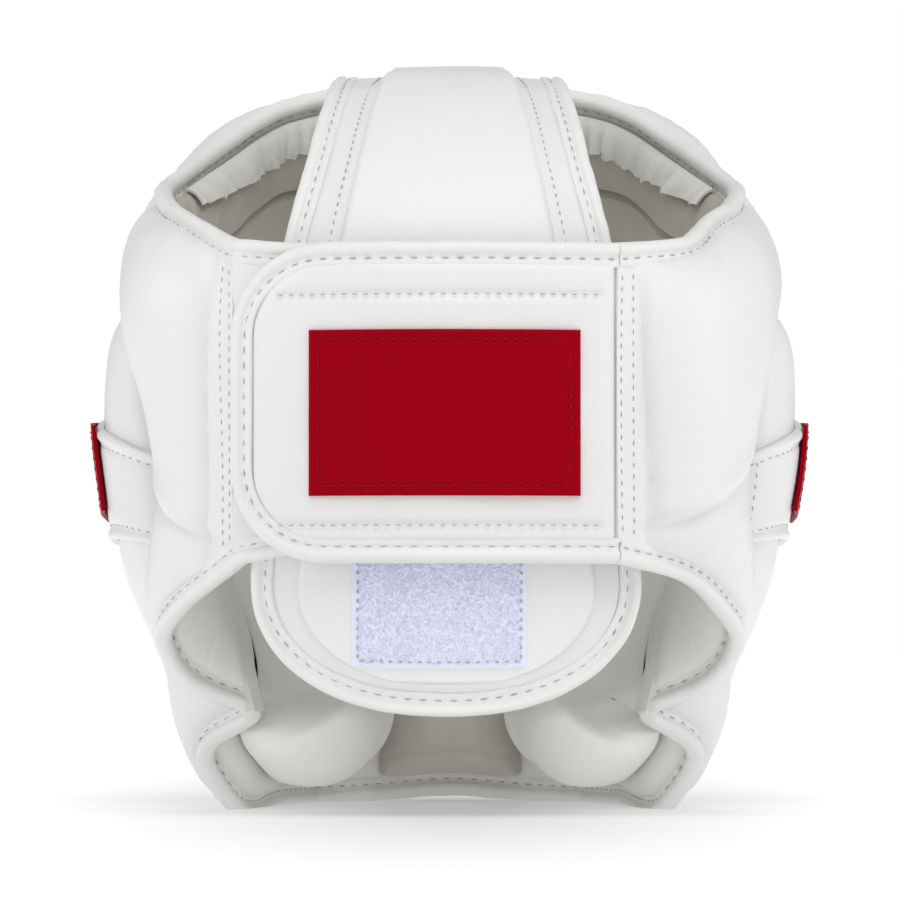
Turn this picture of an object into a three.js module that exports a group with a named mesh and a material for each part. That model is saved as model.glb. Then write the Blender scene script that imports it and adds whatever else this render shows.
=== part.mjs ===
// Padded leather head guard for sparring: a forehead band, a crown panel that runs over the head to
// a rounded tongue at the nape, puffed side panels, cheek guards, a chin guard and a rear flap.
// Millimetres, +Z up, the wearer faces +Y, and the guard stands on its lower rim at z = 0.
import * as THREE from "three";

// Driving dimensions
const DEPTH_SHIFT = -12.5;
const SEAM_GAP = 0.6;
const EDGE_THICKNESS = 4;
const BINDING_RADIUS = 3;
const BINDING_INSET = 3;
const BOUND_MARGIN = 7;
const BROW_MARGIN = 8;
const CROWN_BORDER = 5;
const CROWN_LINING_SHARE = 0.8;
const CROWN_BINDING_START = 0.02;
const CROWN_PAD_LEAST = 0.45;
const CROWN_LEAN = -1.4;
const TURN_CLEARANCE = 4;
const FLAP = { left: -71.5, right: 52.8, bottom: 83, top: 188, y: -112.2, bend: 140 };
const FLAP_BODY = { thickness: 7, edge: 3.8, corner: 31 };
const RED_PATCH = { left: -46, right: 42.5, bottom: 105, top: 159, thickness: 1.2, lift: 7.4 };
const LOOP_PATCH = { left: -30.7, right: 26.3, bottom: 50.5, top: 87, thickness: 1.2, lift: 0.3 };
const REAR_TAB = { left: -68.5, right: -52, bottom: 90, top: 183, thickness: 2, lift: -3.6 };
const REAR_TAB_RIMS = { top: 187, topEnd: -44, bottom: 86, bottomEnd: -56, lift: -3.6 };
const TONGUE = { top: 76, bottom: 33, halfWidth: 64, power: 2.3, padInset: 11 };

// How full each padded wall is: its swell outwards and inwards, the radius of its rounded edges, the flat
// sewn strip at its start, the radius beyond that strip and the radius at its foot.
const SIDE_PUFF = { out: 11, into: 8, round: 26, flat: 9, start: 46, foot: 26 };
const CHEEK_PUFF = { out: 14, into: 10, round: 24, flat: 0, start: 24, foot: 24 };
const FOREHEAD_PUFF = { out: 14, into: 12, round: 22, flat: 0, start: 22, foot: 22 };
const CHIN_PUFF = { out: 14, into: 10, round: 18, flat: 0, start: 18, foot: 18 };
const CHEEK_PAD_PUFF = { out: 0, into: 30, round: 30, flat: 0, start: 30, foot: 20 };
const CHIN_PAD_PUFF = { out: 0, into: 16, round: 16, flat: 0, start: 16, foot: 16 };

// Crown panel, from the brow over the top to the nape: place of the border's middle line,
// half width of the panel, half width of its padded middle, how far that stands proud, and the radius
// to which the panel bends from side to side.
const CROWN_SECTIONS = [
  { y: 93, z: 252.5, half: 38.5, pad: 24, proud: 2, bend: 420 },
  { y: 40, z: 252, half: 39, pad: 21, proud: 2.2, bend: 420 },
  { y: 0, z: 250, half: 39.5, pad: 20, proud: 2.4, bend: 380 },
  { y: -40, z: 241, half: 42, pad: 24, proud: 3.6, bend: 300 },
  { y: -72, z: 220, half: 47, pad: 29, proud: 4.5, bend: 220 },
  { y: -93, z: 192, half: 54, pad: 35, proud: 4.5, bend: 160 },
  { y: -102, z: 158, half: 58, pad: 40, proud: 4, bend: 140 },
  { y: -104, z: 118, half: 61, pad: 45, proud: 4.5, bend: 140 },
  { y: -101, z: 76, half: 64, pad: 49, proud: 4.5, bend: 140 },
  { y: -94, z: 33, half: 64, pad: 49, proud: 4.5, bend: 140 },
];

// Rear edge of each side panel, where the flap or its underlap is sewn on: points [out, forward, up].
const REAR_EDGES = {
  left: [{ foot: [70, -87, 81], waist: [70, -92, 112], crest: [70, -92.5, 160], rim: [70, -88, 190] }],
  right: [
    { foot: [53.6, -106, 83], waist: [53.6, -106, 112], crest: [53.6, -106, 160], rim: [53.6, -106, 188] },
    { foot: [77, -84, 77], waist: [78, -92, 112], crest: [78, -93, 160], rim: [76, -85, 191] },
  ],
};

// Side panel, from behind the ear to its front edge.
const SIDE_SECTIONS = [
  { foot: [90, -66, 66], waist: [87, -68, 110], crest: [94, -66, 172], rim: [85, -56, 200] },
  { foot: [97, -50, 56], waist: [84, -42, 108], crest: [99, -34, 178], rim: [94, -28, 207] },
  { foot: [89, -40, 43], waist: [84, -26, 106], crest: [99, -8, 178], rim: [98, -5, 213] },
  { foot: [67, -34, 33], waist: [84, -13, 104], crest: [96, 10, 172], rim: [98, 15, 217] },
];

// Cheek guard, from the fold at the jaw to the face opening.
const CHEEK_SECTIONS = [
  { foot: [66, -24, 30], jaw: [74, -15, 60], waist: [86, -4, 92], crest: [94, 8, 140], top: [96, 15, 174] },
  { foot: [84, -12, 18], jaw: [81, 2, 48], waist: [96, 16, 90], crest: [103, 24, 142], top: [101, 30, 176] },
  { foot: [74, 4, -1], jaw: [77, 24, 38], waist: [96, 50, 86], crest: [102, 56, 140], top: [95, 60, 180] },
  { foot: [60, 66, -1], jaw: [68, 76, 36], waist: [85, 92, 80], crest: [88, 95, 136], top: [79, 94, 183] },
  { foot: [47, 106, -1], jaw: [52, 112, 34], waist: [60, 120, 74], crest: [62, 121, 132], top: [60, 113, 186] },
];

// Forehead band, from the side panel to its middle, then mirrored.
const FOREHEAD_SECTIONS = [
  { brow: [97, 11.6, 175.4], middle: [98, 14, 196], rim: [98, 15.8, 217] },
  { brow: [94, 60, 180.6], middle: [88, 60, 207], rim: [82, 50, 232] },
  { brow: [74, 97, 185.4], middle: [75, 99, 217], rim: [58, 78, 249] },
  { brow: [40, 116, 189], middle: [40, 119, 222], rim: [30, 91.5, 255.5] },
  { brow: [0, 122, 190], middle: [0, 125, 224], rim: [0, 93, 257] },
];

// Chin guard, from the cheek guard to its middle, then mirrored.
const CHIN_SECTIONS = [
  { foot: [51, 101, -1], middle: [57, 111, 30], lip: [61, 115, 56] },
  { foot: [27, 117, 0], middle: [29, 126, 30], lip: [31, 129, 54] },
  { foot: [0, 121, 2], middle: [0, 130, 30], lip: [0, 133, 53] },
];

// Inner pads and outer straps: the stretch of the guard that each covers, as shares of its length and
// height, and how much higher it ends than it starts.
const CHEEK_PAD = { from: 0.27, to: 0.98, low: 0.04, high: 0.62, rise: 0, gap: 3 };
const CHIN_PAD = { from: 0.24, to: 0.76, low: 0.06, high: 0.9, rise: 0, gap: 1.6 };
const STRAP = { from: 0.05, to: 0.62, low: 0.41, high: 0.63, rise: 0.14, gap: 0.4, thickness: 2 };
const HOOK_STRIP = { from: 0.33, to: 0.47, low: 0.58, high: 0.715, rise: 0.02, gap: 2.6, thickness: 0.9 };
const PULL_TAB = { from: 0.31, to: 0.49, low: 0.565, high: 0.735, rise: 0.02, gap: 3.7, thickness: 1.2 };

// The stretches of edges that are bound: along the forehead band's rim and brow from its side, and up the
// front edge of the cheek guard, as shares of their length.
const TOP_RIM_REACH = { from: 0.01, to: 0.34 };
const BROW_REACH = { from: 0.3, to: 0.7 };
const FACE_EDGE_SHARES = [0.32, 0.45, 0.6, 0.75, 0.9];

// Where the brow edge turns up from the seam with the cheek guard to the bound edge of the face opening.
const BROW_TURN = { from: 0.2, to: 0.29 };

// Facets: how many steps each skin or path is divided into, and the sides of a binding's round section.
const CROWN_STEPS = { length: 15, edge: 14, tongueTurn: 16, binding: 64 };
const TONGUE_STEPS = [0.35, 0.6, 0.8, 0.93, 1];
const FLAP_STEPS = { across: 14, up: 8, turn: 5, line: 5, binding: 44 };
const PANEL_STEPS = { across: 12, up: 12 };
const FOREHEAD_STEPS = { across: 24, up: 8 };
const CHIN_STEPS = { across: 12, up: 8 };
const CHEEK_PAD_STEPS = { across: 10, up: 8 };
const CHIN_PAD_STEPS = { across: 8, up: 6 };
const STRAP_STEPS = { across: 12, up: 3 };
const TAB_STEPS = { across: 4, up: 3 };
const PATCH_STEPS = 8;
const RIM_STEPS = 12;
const TAB_RIM_STEPS = 3;
const FACE_RING_STEPS = 56;
const BEAD_SIDES = 6;
const LOWER_BEAD_SIDES = 8;
const RIB_DIVISIONS = 16;
const LENGTH_STEPS = 8;
const SEARCH_STEPS = 30;

// Finishes: colour, roughness and metalness of each material
const WHITE_LEATHER = { color: 0xf0f0ee, roughness: 0.45, metalness: 0 };
const LINING_LEATHER = { color: 0xe6e4df, roughness: 0.55, metalness: 0 };
const RED_LEATHER = { color: 0xa00016, roughness: 0.3, metalness: 0 };
const LOOP_FABRIC = { color: 0xdedef5, roughness: 0.95, metalness: 0 };
const HOOK_FABRIC = { color: 0x8a1030, roughness: 0.9, metalness: 0 };

const guard = new THREE.Group();
guard.position.y = DEPTH_SHIFT;

// Adds a finished piece to the guard.
function addPiece(name, geometry, finish) {
  const mesh = new THREE.Mesh(geometry, new THREE.MeshStandardMaterial(finish));
  mesh.name = name;
  guard.add(mesh);
}

// A closed geometry from points and triangles, turned the right way round and flattened where it stands.
function closedGeometry(points, triangles) {
  points.forEach((point) => {
    point.z = Math.max(point.z, 0);
  });
  let volume = 0;
  for (const [a, b, c] of triangles) {
    volume += points[a].dot(points[b].clone().cross(points[c]));
  }
  const turned = volume > 0 ? triangles : triangles.map(([a, b, c]) => [a, c, b]);
  const geometry = new THREE.BufferGeometry().setFromPoints(points);
  geometry.setIndex(turned.flat());
  geometry.computeVertexNormals();
  return geometry;
}

// A solid between an outer and an inner skin, each a function of u and v from 0 to 1.
function wallSolid(outer, inner, across, up) {
  const points = [];
  const triangles = [];
  const width = across.length;
  const height = up.length;
  for (const skin of [outer, inner]) {
    for (const v of up) {
      for (const u of across) {
        points.push(skin(u, v));
      }
    }
  }
  const at = (skin, i, j) => skin * width * height + j * width + i;
  const quad = (a, b, c, d) => triangles.push([a, b, c], [a, c, d]);
  for (let j = 0; j + 1 < height; j += 1) {
    for (let i = 0; i + 1 < width; i += 1) {
      quad(at(0, i, j), at(0, i + 1, j), at(0, i + 1, j + 1), at(0, i, j + 1));
      quad(at(1, i, j), at(1, i, j + 1), at(1, i + 1, j + 1), at(1, i + 1, j));
    }
  }
  for (let i = 0; i + 1 < width; i += 1) {
    quad(at(0, i, 0), at(1, i, 0), at(1, i + 1, 0), at(0, i + 1, 0));
    quad(at(0, i, height - 1), at(0, i + 1, height - 1), at(1, i + 1, height - 1), at(1, i, height - 1));
  }
  for (let j = 0; j + 1 < height; j += 1) {
    quad(at(0, 0, j), at(0, 0, j + 1), at(1, 0, j + 1), at(1, 0, j));
    quad(at(0, width - 1, j), at(1, width - 1, j), at(1, width - 1, j + 1), at(0, width - 1, j + 1));
  }
  return closedGeometry(points, triangles);
}

// Steps from 0 to 1 that crowd towards both ends, where a padded edge rounds over.
const roundedSteps = (count) =>
  Array.from({ length: count + 1 }, (_, i) => 0.5 - 0.5 * Math.cos((Math.PI * i) / count));
const evenSteps = (count) => Array.from({ length: count + 1 }, (_, i) => i / count);

// A smooth surface through the named points of each section. The side is 1 for right and -1 for left.
function surfaceThrough(sections, columns, side) {
  const place = (name) => (row) => new THREE.Vector3(row[name][0] * side, row[name][1], row[name][2]);
  const rails = columns.map((name) => new THREE.CatmullRomCurve3(sections.map(place(name))));
  return (u, v) => {
    const rib = new THREE.CatmullRomCurve3(rails.map((rail) => rail.getPoint(u)));
    rib.arcLengthDivisions = RIB_DIVISIONS;
    return rib.getPointAt(THREE.MathUtils.clamp(v, 0, 1));
  };
}

// Both halves of a piece that crosses the middle: the given sections, then their mirror images.
function bothHalves(sections) {
  const flip = (row) =>
    Object.fromEntries(Object.entries(row).map(([name, [out, y, z]]) => [name, [-out, y, z]]));
  return [...sections.map(flip), ...sections.slice(0, -1).reverse()];
}

// The unit normal of a surface, pointing away from the middle of the head.
const HEAD_MIDDLE = new THREE.Vector3(0, 0, 130);
function normalOf(surface) {
  const step = 0.004;
  const raw = (u, v) => {
    const [u0, u1] = [Math.max(u - step, 0), Math.min(u + step, 1)];
    const [v0, v1] = [Math.max(v - step, 0), Math.min(v + step, 1)];
    const along = surface(u1, v).sub(surface(u0, v));
    return along.cross(surface(u, v1).sub(surface(u, v0))).normalize();
  };
  const facing = Math.sign(raw(0.5, 0.5).dot(surface(0.5, 0.5).sub(HEAD_MIDDLE)));
  return (u, v) => raw(u, v).multiplyScalar(facing);
}

// Length of a surface across it at each share of its height, and up it at each share of its width.
function lengthsOf(surface) {
  const chords = (point) =>
    evenSteps(LENGTH_STEPS)
      .map(point)
      .reduce((sum, place, i, places) => sum + (i ? place.distanceTo(places[i - 1]) : 0), 0);
  const acrossAt = evenSteps(LENGTH_STEPS).map((v) => chords((u) => surface(u, v)));
  const upAt = evenSteps(LENGTH_STEPS).map((u) => chords((v) => surface(u, v)));
  const between = (table) => (share) => {
    const place = THREE.MathUtils.clamp(share, 0, 1) * LENGTH_STEPS;
    const low = Math.min(Math.floor(place), LENGTH_STEPS - 1);
    return THREE.MathUtils.lerp(table[low], table[low + 1], place - low);
  };
  return { across: between(acrossAt), up: between(upAt) };
}

// The part of a surface that is left inside a margin in millimetres along each of its edges.
function insetSurface(surface, margins) {
  const lengths = lengthsOf(surface);
  return (u, v) => {
    const across = lengths.across(v);
    const up = lengths.up(u);
    const [start, end] = [margins.start / across, 1 - margins.end / across];
    const footMargin = margins.footAt ? margins.footAt(u) : margins.foot;
    const [foot, head] = [footMargin / up, 1 - margins.head / up];
    return surface(start + (end - start) * u, foot + (head - foot) * v);
  };
}

// A padded wall: full in the middle and rounded down to a thin sewn edge all round.
function paddedSkins(surface, puff) {
  const normal = normalOf(surface);
  const lengths = lengthsOf(surface);
  const quarterRound = (distance, radius) =>
    Math.sqrt(1 - (1 - THREE.MathUtils.clamp(distance / radius, 0, 1)) ** 2);
  const fullness = (u, v) => {
    const across = lengths.across(v);
    const up = lengths.up(u);
    const start = quarterRound(u * across - puff.flat, puff.start);
    const end = quarterRound((1 - u) * across, puff.round);
    return start * end * quarterRound(v * up, puff.foot) * quarterRound((1 - v) * up, puff.round);
  };
  const skin = (sign, puffed) => (u, v) => {
    const offset = EDGE_THICKNESS / 2 + puffed * fullness(u, v);
    return surface(u, v).addScaledVector(normal(u, v), sign * offset);
  };
  return { outer: skin(1, puff.out), inner: skin(-1, puff.into) };
}

function addPad(name, surface, puff, steps, finish) {
  const { outer, inner } = paddedSkins(surface, puff);
  addPiece(name, wallSolid(outer, inner, roundedSteps(steps.across), roundedSteps(steps.up)), finish);
  return { outer, inner };
}

// A bound edge: a bead of round section along a row of points, closed by a flat cap at each end. Its first
// spoke is turned from a direction that no edge starts along.
const FIRST_SPOKE = new THREE.Vector3(0.3, 0.5, 1);
function bead(points, sides, ring = false) {
  const count = points.length;
  const vertices = [];
  const triangles = [];
  const middle = points.reduce((sum, point) => sum.add(point), new THREE.Vector3()).divideScalar(count);
  let across = FIRST_SPOKE;
  points.forEach((point, i) => {
    if (ring) {
      across = point.clone().sub(middle);
    }
    const before = points[ring ? (i + count - 1) % count : Math.max(i - 1, 0)];
    const after = points[ring ? (i + 1) % count : Math.min(i + 1, count - 1)];
    const along = after.clone().sub(before).normalize();
    across = across.clone().addScaledVector(along, -across.dot(along)).normalize();
    const over = along.clone().cross(across);
    for (let k = 0; k < sides; k += 1) {
      const turn = (2 * Math.PI * k) / sides;
      const spoke = across.clone().multiplyScalar(Math.cos(turn)).addScaledVector(over, Math.sin(turn));
      vertices.push(point.clone().addScaledVector(spoke, BINDING_RADIUS));
    }
  });
  const at = (i, k) => (i % count) * sides + (k % sides);
  for (let i = 0; i < (ring ? count : count - 1); i += 1) {
    for (let k = 0; k < sides; k += 1) {
      triangles.push([at(i, k), at(i + 1, k), at(i + 1, k + 1)], [at(i, k), at(i + 1, k + 1), at(i, k + 1)]);
    }
  }
  if (!ring) {
    for (let k = 1; k + 1 < sides; k += 1) {
      triangles.push([at(0, 0), at(0, k), at(0, k + 1)]);
      triangles.push([at(count - 1, 0), at(count - 1, k + 1), at(count - 1, k)]);
    }
  }
  return closedGeometry(vertices, triangles);
}

// Even points along a row of corner points, smoothed.
const smoothPath = (points, steps) => new THREE.CatmullRomCurve3(points).getSpacedPoints(steps);

// Crown panel: the place on it at a share of its length, a distance from its middle line and a lift off it.
// The panel leans a little to the left on its way down to the tongue.
const crownLine = new THREE.CatmullRomCurve3(CROWN_SECTIONS.map((row) => new THREE.Vector3(0, row.y, row.z)));
function crownValue(column, share) {
  const place = share * (CROWN_SECTIONS.length - 1);
  const row = Math.min(Math.floor(place), CROWN_SECTIONS.length - 2);
  return THREE.MathUtils.lerp(CROWN_SECTIONS[row][column], CROWN_SECTIONS[row + 1][column], place - row);
}
function crownPoint(share, x, lift) {
  const along = crownLine.getTangent(share);
  const out = new THREE.Vector3(0, along.z, -along.y);
  const bend = (x * x) / (2 * crownValue("bend", share));
  const point = crownLine.getPoint(share).addScaledVector(out, lift - bend);
  return point.setX(x + CROWN_LEAN * share);
}
function crownShareAt(height) {
  let [low, high] = [0.5, 1];
  for (let i = 0; i < SEARCH_STEPS; i += 1) {
    const middle = (low + high) / 2;
    [low, high] = crownLine.getPoint(middle).z > height ? [middle, high] : [low, middle];
  }
  return low;
}

// Half width of the panel, or of its padded middle, with the tongue's round end.
function tongueHalf(halfWidth, height, bottom) {
  const drop = Math.min(Math.max((TONGUE.top - height) / (TONGUE.top - bottom), 0), 1);
  return halfWidth * (1 - drop ** TONGUE.power) ** (1 / TONGUE.power);
}
function crownHalf(share, inset) {
  const height = crownLine.getPoint(share).z;
  return tongueHalf(crownValue("half", share) - inset, height, TONGUE.bottom + inset);
}
function crownPad(share) {
  const height = crownLine.getPoint(share).z;
  const full = tongueHalf(crownValue("pad", share), height, TONGUE.bottom + TONGUE.padInset);
  const least = CROWN_PAD_LEAST * crownHalf(share, BOUND_MARGIN);
  const fade = height < TONGUE.top ? THREE.MathUtils.clamp((full - least) / least, 0, 1) : 1;
  return { half: Math.max(full, least), proud: crownValue("proud", share) * fade };
}

const CROWN_COLUMNS = [
  { outward: 1, padded: 0, rise: 0 },
  { outward: 0, padded: 1, rise: 0 },
  { outward: 0, padded: 0.84, rise: 0.8 },
  { outward: 0, padded: 0.5, rise: 1 },
  { outward: 0, padded: 0, rise: 1 },
];
const crownColumns = [
  ...CROWN_COLUMNS.map((column) => ({ ...column, side: -1 })),
  ...CROWN_COLUMNS.slice(0, -1).reverse().map((column) => ({ ...column, side: 1 })),
];
const tongueStart = crownShareAt(TONGUE.top);
const tongueEnd = crownShareAt(TONGUE.bottom + BOUND_MARGIN + SEAM_GAP);
const crownShares = [
  ...evenSteps(CROWN_STEPS.length).map((step) => step * tongueStart),
  ...TONGUE_STEPS.map((step) => THREE.MathUtils.lerp(tongueStart, tongueEnd, step)),
];
const crownSkin = (sign, proudShare) => (index, share) => {
  const column = crownColumns[index];
  const pad = crownPad(share);
  const reach = column.outward * crownHalf(share, BOUND_MARGIN) + column.padded * pad.half;
  const lift = CROWN_BORDER / 2 + column.rise * pad.proud * proudShare;
  return crownPoint(share, column.side * reach, sign * lift);
};
const crownIndexes = crownColumns.map((_, index) => index);
const crownLining = crownSkin(-1, CROWN_LINING_SHARE);
addPiece("crown_panel", wallSolid(crownSkin(1, 1), crownLining, crownIndexes, crownShares), WHITE_LEATHER);

// Binding round the crown panel's two long edges and its tongue.
const crownEdge = (side) => (share) => crownPoint(share, side * crownHalf(share, BINDING_INSET), 0);
const crownEdgeEnd = crownShareAt(TONGUE.top + TURN_CLEARANCE);
const sideShares = evenSteps(CROWN_STEPS.edge).map((step) =>
  THREE.MathUtils.lerp(CROWN_BINDING_START, crownEdgeEnd, step),
);
const tongueTurn = evenSteps(CROWN_STEPS.tongueTurn).map((step) => {
  const turn = Math.PI * step;
  const rounded = (value) => Math.sign(value) * Math.abs(value) ** (2 / TONGUE.power);
  const x = -(TONGUE.halfWidth - BINDING_INSET) * rounded(Math.cos(turn));
  const z = TONGUE.top - (TONGUE.top - TONGUE.bottom - BINDING_INSET) * rounded(Math.sin(turn));
  return crownPoint(crownShareAt(z), x, 0);
});
const crownRim = [
  ...sideShares.map(crownEdge(-1)),
  ...tongueTurn,
  ...sideShares.map(crownEdge(1)).reverse(),
];
addPiece("crown_binding", bead(smoothPath(crownRim, CROWN_STEPS.binding), BEAD_SIDES), WHITE_LEATHER);

// Loop fabric patch on the tongue, half under the flap.
const loopSkin = (lift) => (u, v) => {
  const x = THREE.MathUtils.lerp(LOOP_PATCH.left, LOOP_PATCH.right, u);
  const share = crownShareAt(THREE.MathUtils.lerp(LOOP_PATCH.bottom, LOOP_PATCH.top, v));
  const pad = crownPad(share);
  return crownPoint(share, x, CROWN_BORDER / 2 + pad.proud + lift);
};
const patchSteps = evenSteps(PATCH_STEPS);
const loopFace = loopSkin(LOOP_PATCH.lift + LOOP_PATCH.thickness);
const loopBack = loopSkin(LOOP_PATCH.lift);
addPiece("loop_patch", wallSolid(loopFace, loopBack, patchSteps, patchSteps), LOOP_FABRIC);

// Rear flap: a flat padded tab that wraps across the nape, round at its free left end.
const flapPoint = (x, z, lift) => new THREE.Vector3(x, FLAP.y - lift + (x * x) / (2 * FLAP.bend), z);
function flapCorner(x, inset) {
  const radius = FLAP_BODY.corner - inset;
  const past = Math.max(FLAP.left + FLAP_BODY.corner - x, 0);
  return radius - Math.sqrt(Math.max(radius ** 2 - past ** 2, 0));
}
const flapSkin = (lift, edgeLift) => (u, v) => {
  const x = THREE.MathUtils.lerp(FLAP.left + BOUND_MARGIN, FLAP.right - SEAM_GAP, u);
  const cut = flapCorner(x, BOUND_MARGIN) + BOUND_MARGIN;
  const edge = Math.min(u, v, 1 - v) <= 0;
  return flapPoint(x, THREE.MathUtils.lerp(FLAP.bottom + cut, FLAP.top - cut, v), edge ? edgeLift : lift);
};
const flapEdgeLift = (FLAP_BODY.thickness - FLAP_BODY.edge) / 2;
const flapOuter = flapSkin(FLAP_BODY.thickness, FLAP_BODY.thickness - flapEdgeLift);
const flapInner = flapSkin(0, flapEdgeLift);
const flapAcross = roundedSteps(FLAP_STEPS.across);
const flapUp = roundedSteps(FLAP_STEPS.up);
addPiece("rear_flap", wallSolid(flapOuter, flapInner, flapAcross, flapUp), WHITE_LEATHER);

// Binding along the flap's top, round its free end and back along its bottom.
const flapTurn = (middleZ, from) =>
  evenSteps(FLAP_STEPS.turn).map((step) => {
    const turn = from + (Math.PI / 2) * step;
    const radius = FLAP_BODY.corner - BINDING_INSET;
    const x = FLAP.left + FLAP_BODY.corner + radius * Math.cos(turn);
    return flapPoint(x, middleZ + radius * Math.sin(turn), FLAP_BODY.thickness / 2);
  });
const flapLineEnd = FLAP.left + FLAP_BODY.corner + TURN_CLEARANCE;
const flapLine = (z) =>
  evenSteps(FLAP_STEPS.line).map((step) => {
    const x = THREE.MathUtils.lerp(FLAP.right - SEAM_GAP, flapLineEnd, step);
    return flapPoint(x, z, FLAP_BODY.thickness / 2);
  });
const flapRim = [
  ...flapLine(FLAP.top - BINDING_INSET),
  ...flapTurn(FLAP.top - FLAP_BODY.corner, Math.PI / 2),
  ...flapTurn(FLAP.bottom + FLAP_BODY.corner, Math.PI),
  ...flapLine(FLAP.bottom + BINDING_INSET).reverse(),
];
addPiece("flap_binding", bead(smoothPath(flapRim, FLAP_STEPS.binding), BEAD_SIDES), WHITE_LEATHER);

// A flat rectangle laid on or under the flap.
function flapSheet(sheet) {
  const skin = (height) => (u, v) =>
    flapPoint(
      THREE.MathUtils.lerp(sheet.left, sheet.right, u),
      THREE.MathUtils.lerp(sheet.bottom, sheet.top, v),
      height,
    );
  return wallSolid(skin(sheet.lift + sheet.thickness), skin(sheet.lift), patchSteps, patchSteps);
}
addPiece("red_patch", flapSheet(RED_PATCH), RED_LEATHER);
addPiece("left_rear_tab", flapSheet(REAR_TAB), WHITE_LEATHER);

// Side panels, cheek guards and what is fixed to them, on both sides
const SIDE_COLUMNS = ["foot", "waist", "crest", "rim"];
const CHEEK_COLUMNS = ["foot", "jaw", "waist", "crest", "top"];
const FOREHEAD_COLUMNS = ["brow", "middle", "rim"];
const CHIN_COLUMNS = ["foot", "middle", "lip"];
const sideMargins = { start: SEAM_GAP, end: SEAM_GAP, foot: BOUND_MARGIN, head: BOUND_MARGIN };
const cheekBound = BOUND_MARGIN + SEAM_GAP;
const cheekMargins = { start: SEAM_GAP, end: cheekBound, foot: cheekBound, head: SEAM_GAP };
const browFoot = (u) => {
  const turned = THREE.MathUtils.smoothstep(Math.min(u, 1 - u), BROW_TURN.from, BROW_TURN.to);
  return THREE.MathUtils.lerp(SEAM_GAP, BROW_MARGIN, turned);
};
const foreheadMargins = { start: SEAM_GAP, end: SEAM_GAP, footAt: browFoot, head: BOUND_MARGIN };
const chinMargins = { start: SEAM_GAP, end: SEAM_GAP, foot: BOUND_MARGIN, head: BOUND_MARGIN };

// A stretch of a skin, moved off it by a distance.
function stretchOf(skin, stretch, lift) {
  const part = (u, v) => {
    const risen = stretch.rise * Math.sin((Math.PI / 2) * u);
    const height = THREE.MathUtils.lerp(stretch.low, stretch.high, v) + risen;
    return skin(THREE.MathUtils.lerp(stretch.from, stretch.to, u), height);
  };
  const normal = normalOf(part);
  return (u, v) => part(u, v).addScaledVector(normal(u, v), lift);
}

// A thin sheet laid on a stretch of a skin.
function laidOn(skin, stretch, steps) {
  const outer = stretchOf(skin, stretch, stretch.gap + stretch.thickness);
  const inner = stretchOf(skin, stretch, stretch.gap);
  return wallSolid(outer, inner, evenSteps(steps.across), evenSteps(steps.up));
}

const surfaces = {};
for (const [label, side] of [["left", -1], ["right", 1]]) {
  const panel = surfaceThrough([...REAR_EDGES[label], ...SIDE_SECTIONS], SIDE_COLUMNS, side);
  const cheek = surfaceThrough(CHEEK_SECTIONS, CHEEK_COLUMNS, side);
  const panelPart = insetSurface(panel, sideMargins);
  const cheekPart = insetSurface(cheek, cheekMargins);
  addPad(`${label}_side_panel`, panelPart, SIDE_PUFF, PANEL_STEPS, WHITE_LEATHER);
  const skins = addPad(`${label}_cheek_guard`, cheekPart, CHEEK_PUFF, PANEL_STEPS, WHITE_LEATHER);
  const backing = stretchOf(skins.inner, CHEEK_PAD, -CHEEK_PAD.gap - EDGE_THICKNESS / 2);
  addPad(`${label}_cheek_pad`, backing, CHEEK_PAD_PUFF, CHEEK_PAD_STEPS, LINING_LEATHER);
  addPiece(`${label}_side_strap`, laidOn(skins.outer, STRAP, STRAP_STEPS), WHITE_LEATHER);
  addPiece(`${label}_hook_strip`, laidOn(skins.outer, HOOK_STRIP, TAB_STEPS), HOOK_FABRIC);
  addPiece(`${label}_pull_tab`, laidOn(skins.outer, PULL_TAB, TAB_STEPS), RED_LEATHER);
  surfaces[label] = { panel, cheek };
}

// Forehead band and chin guard, each in one piece across the middle
const forehead = surfaceThrough(bothHalves(FOREHEAD_SECTIONS), FOREHEAD_COLUMNS, 1);
const chin = surfaceThrough(bothHalves(CHIN_SECTIONS), CHIN_COLUMNS, 1);
const foreheadPart = insetSurface(forehead, foreheadMargins);
const chinPart = insetSurface(chin, chinMargins);
addPad("forehead_band", foreheadPart, FOREHEAD_PUFF, FOREHEAD_STEPS, WHITE_LEATHER);
const chinSkins = addPad("chin_guard", chinPart, CHIN_PUFF, CHIN_STEPS, WHITE_LEATHER);
const chinBacking = stretchOf(chinSkins.inner, CHIN_PAD, -CHIN_PAD.gap - EDGE_THICKNESS / 2);
addPad("chin_pad", chinBacking, CHIN_PAD_PUFF, CHIN_PAD_STEPS, LINING_LEATHER);

// Points along the foot or head edge of a surface, a binding's inset from it.
function edgePoints(surface, head, shares) {
  const lengths = lengthsOf(surface);
  return shares.map((u) => {
    const inset = BINDING_INSET / lengths.up(u);
    return surface(u, head ? 1 - inset : inset);
  });
}
const padShares = roundedSteps(RIM_STEPS);
const lowerHalf = (label) => [
  ...edgePoints(surfaces[label].panel, false, padShares.slice(0, -1)),
  ...edgePoints(surfaces[label].cheek, false, padShares.slice(1, -2)),
];
const tabRim = (z, end) =>
  evenSteps(TAB_RIM_STEPS).map((step) => {
    const x = THREE.MathUtils.lerp(end, REAR_TAB.left, step);
    return flapPoint(x, z, REAR_TAB_RIMS.lift);
  });
const chinFoot = edgePoints(chin, false, padShares);
const lowerRim = [
  ...tabRim(REAR_TAB_RIMS.bottom, REAR_TAB_RIMS.bottomEnd),
  ...lowerHalf("left").slice(1),
  ...chinFoot,
  ...lowerHalf("right").reverse(),
];
addPiece("lower_binding", bead(lowerRim, LOWER_BEAD_SIDES), WHITE_LEATHER);

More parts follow.
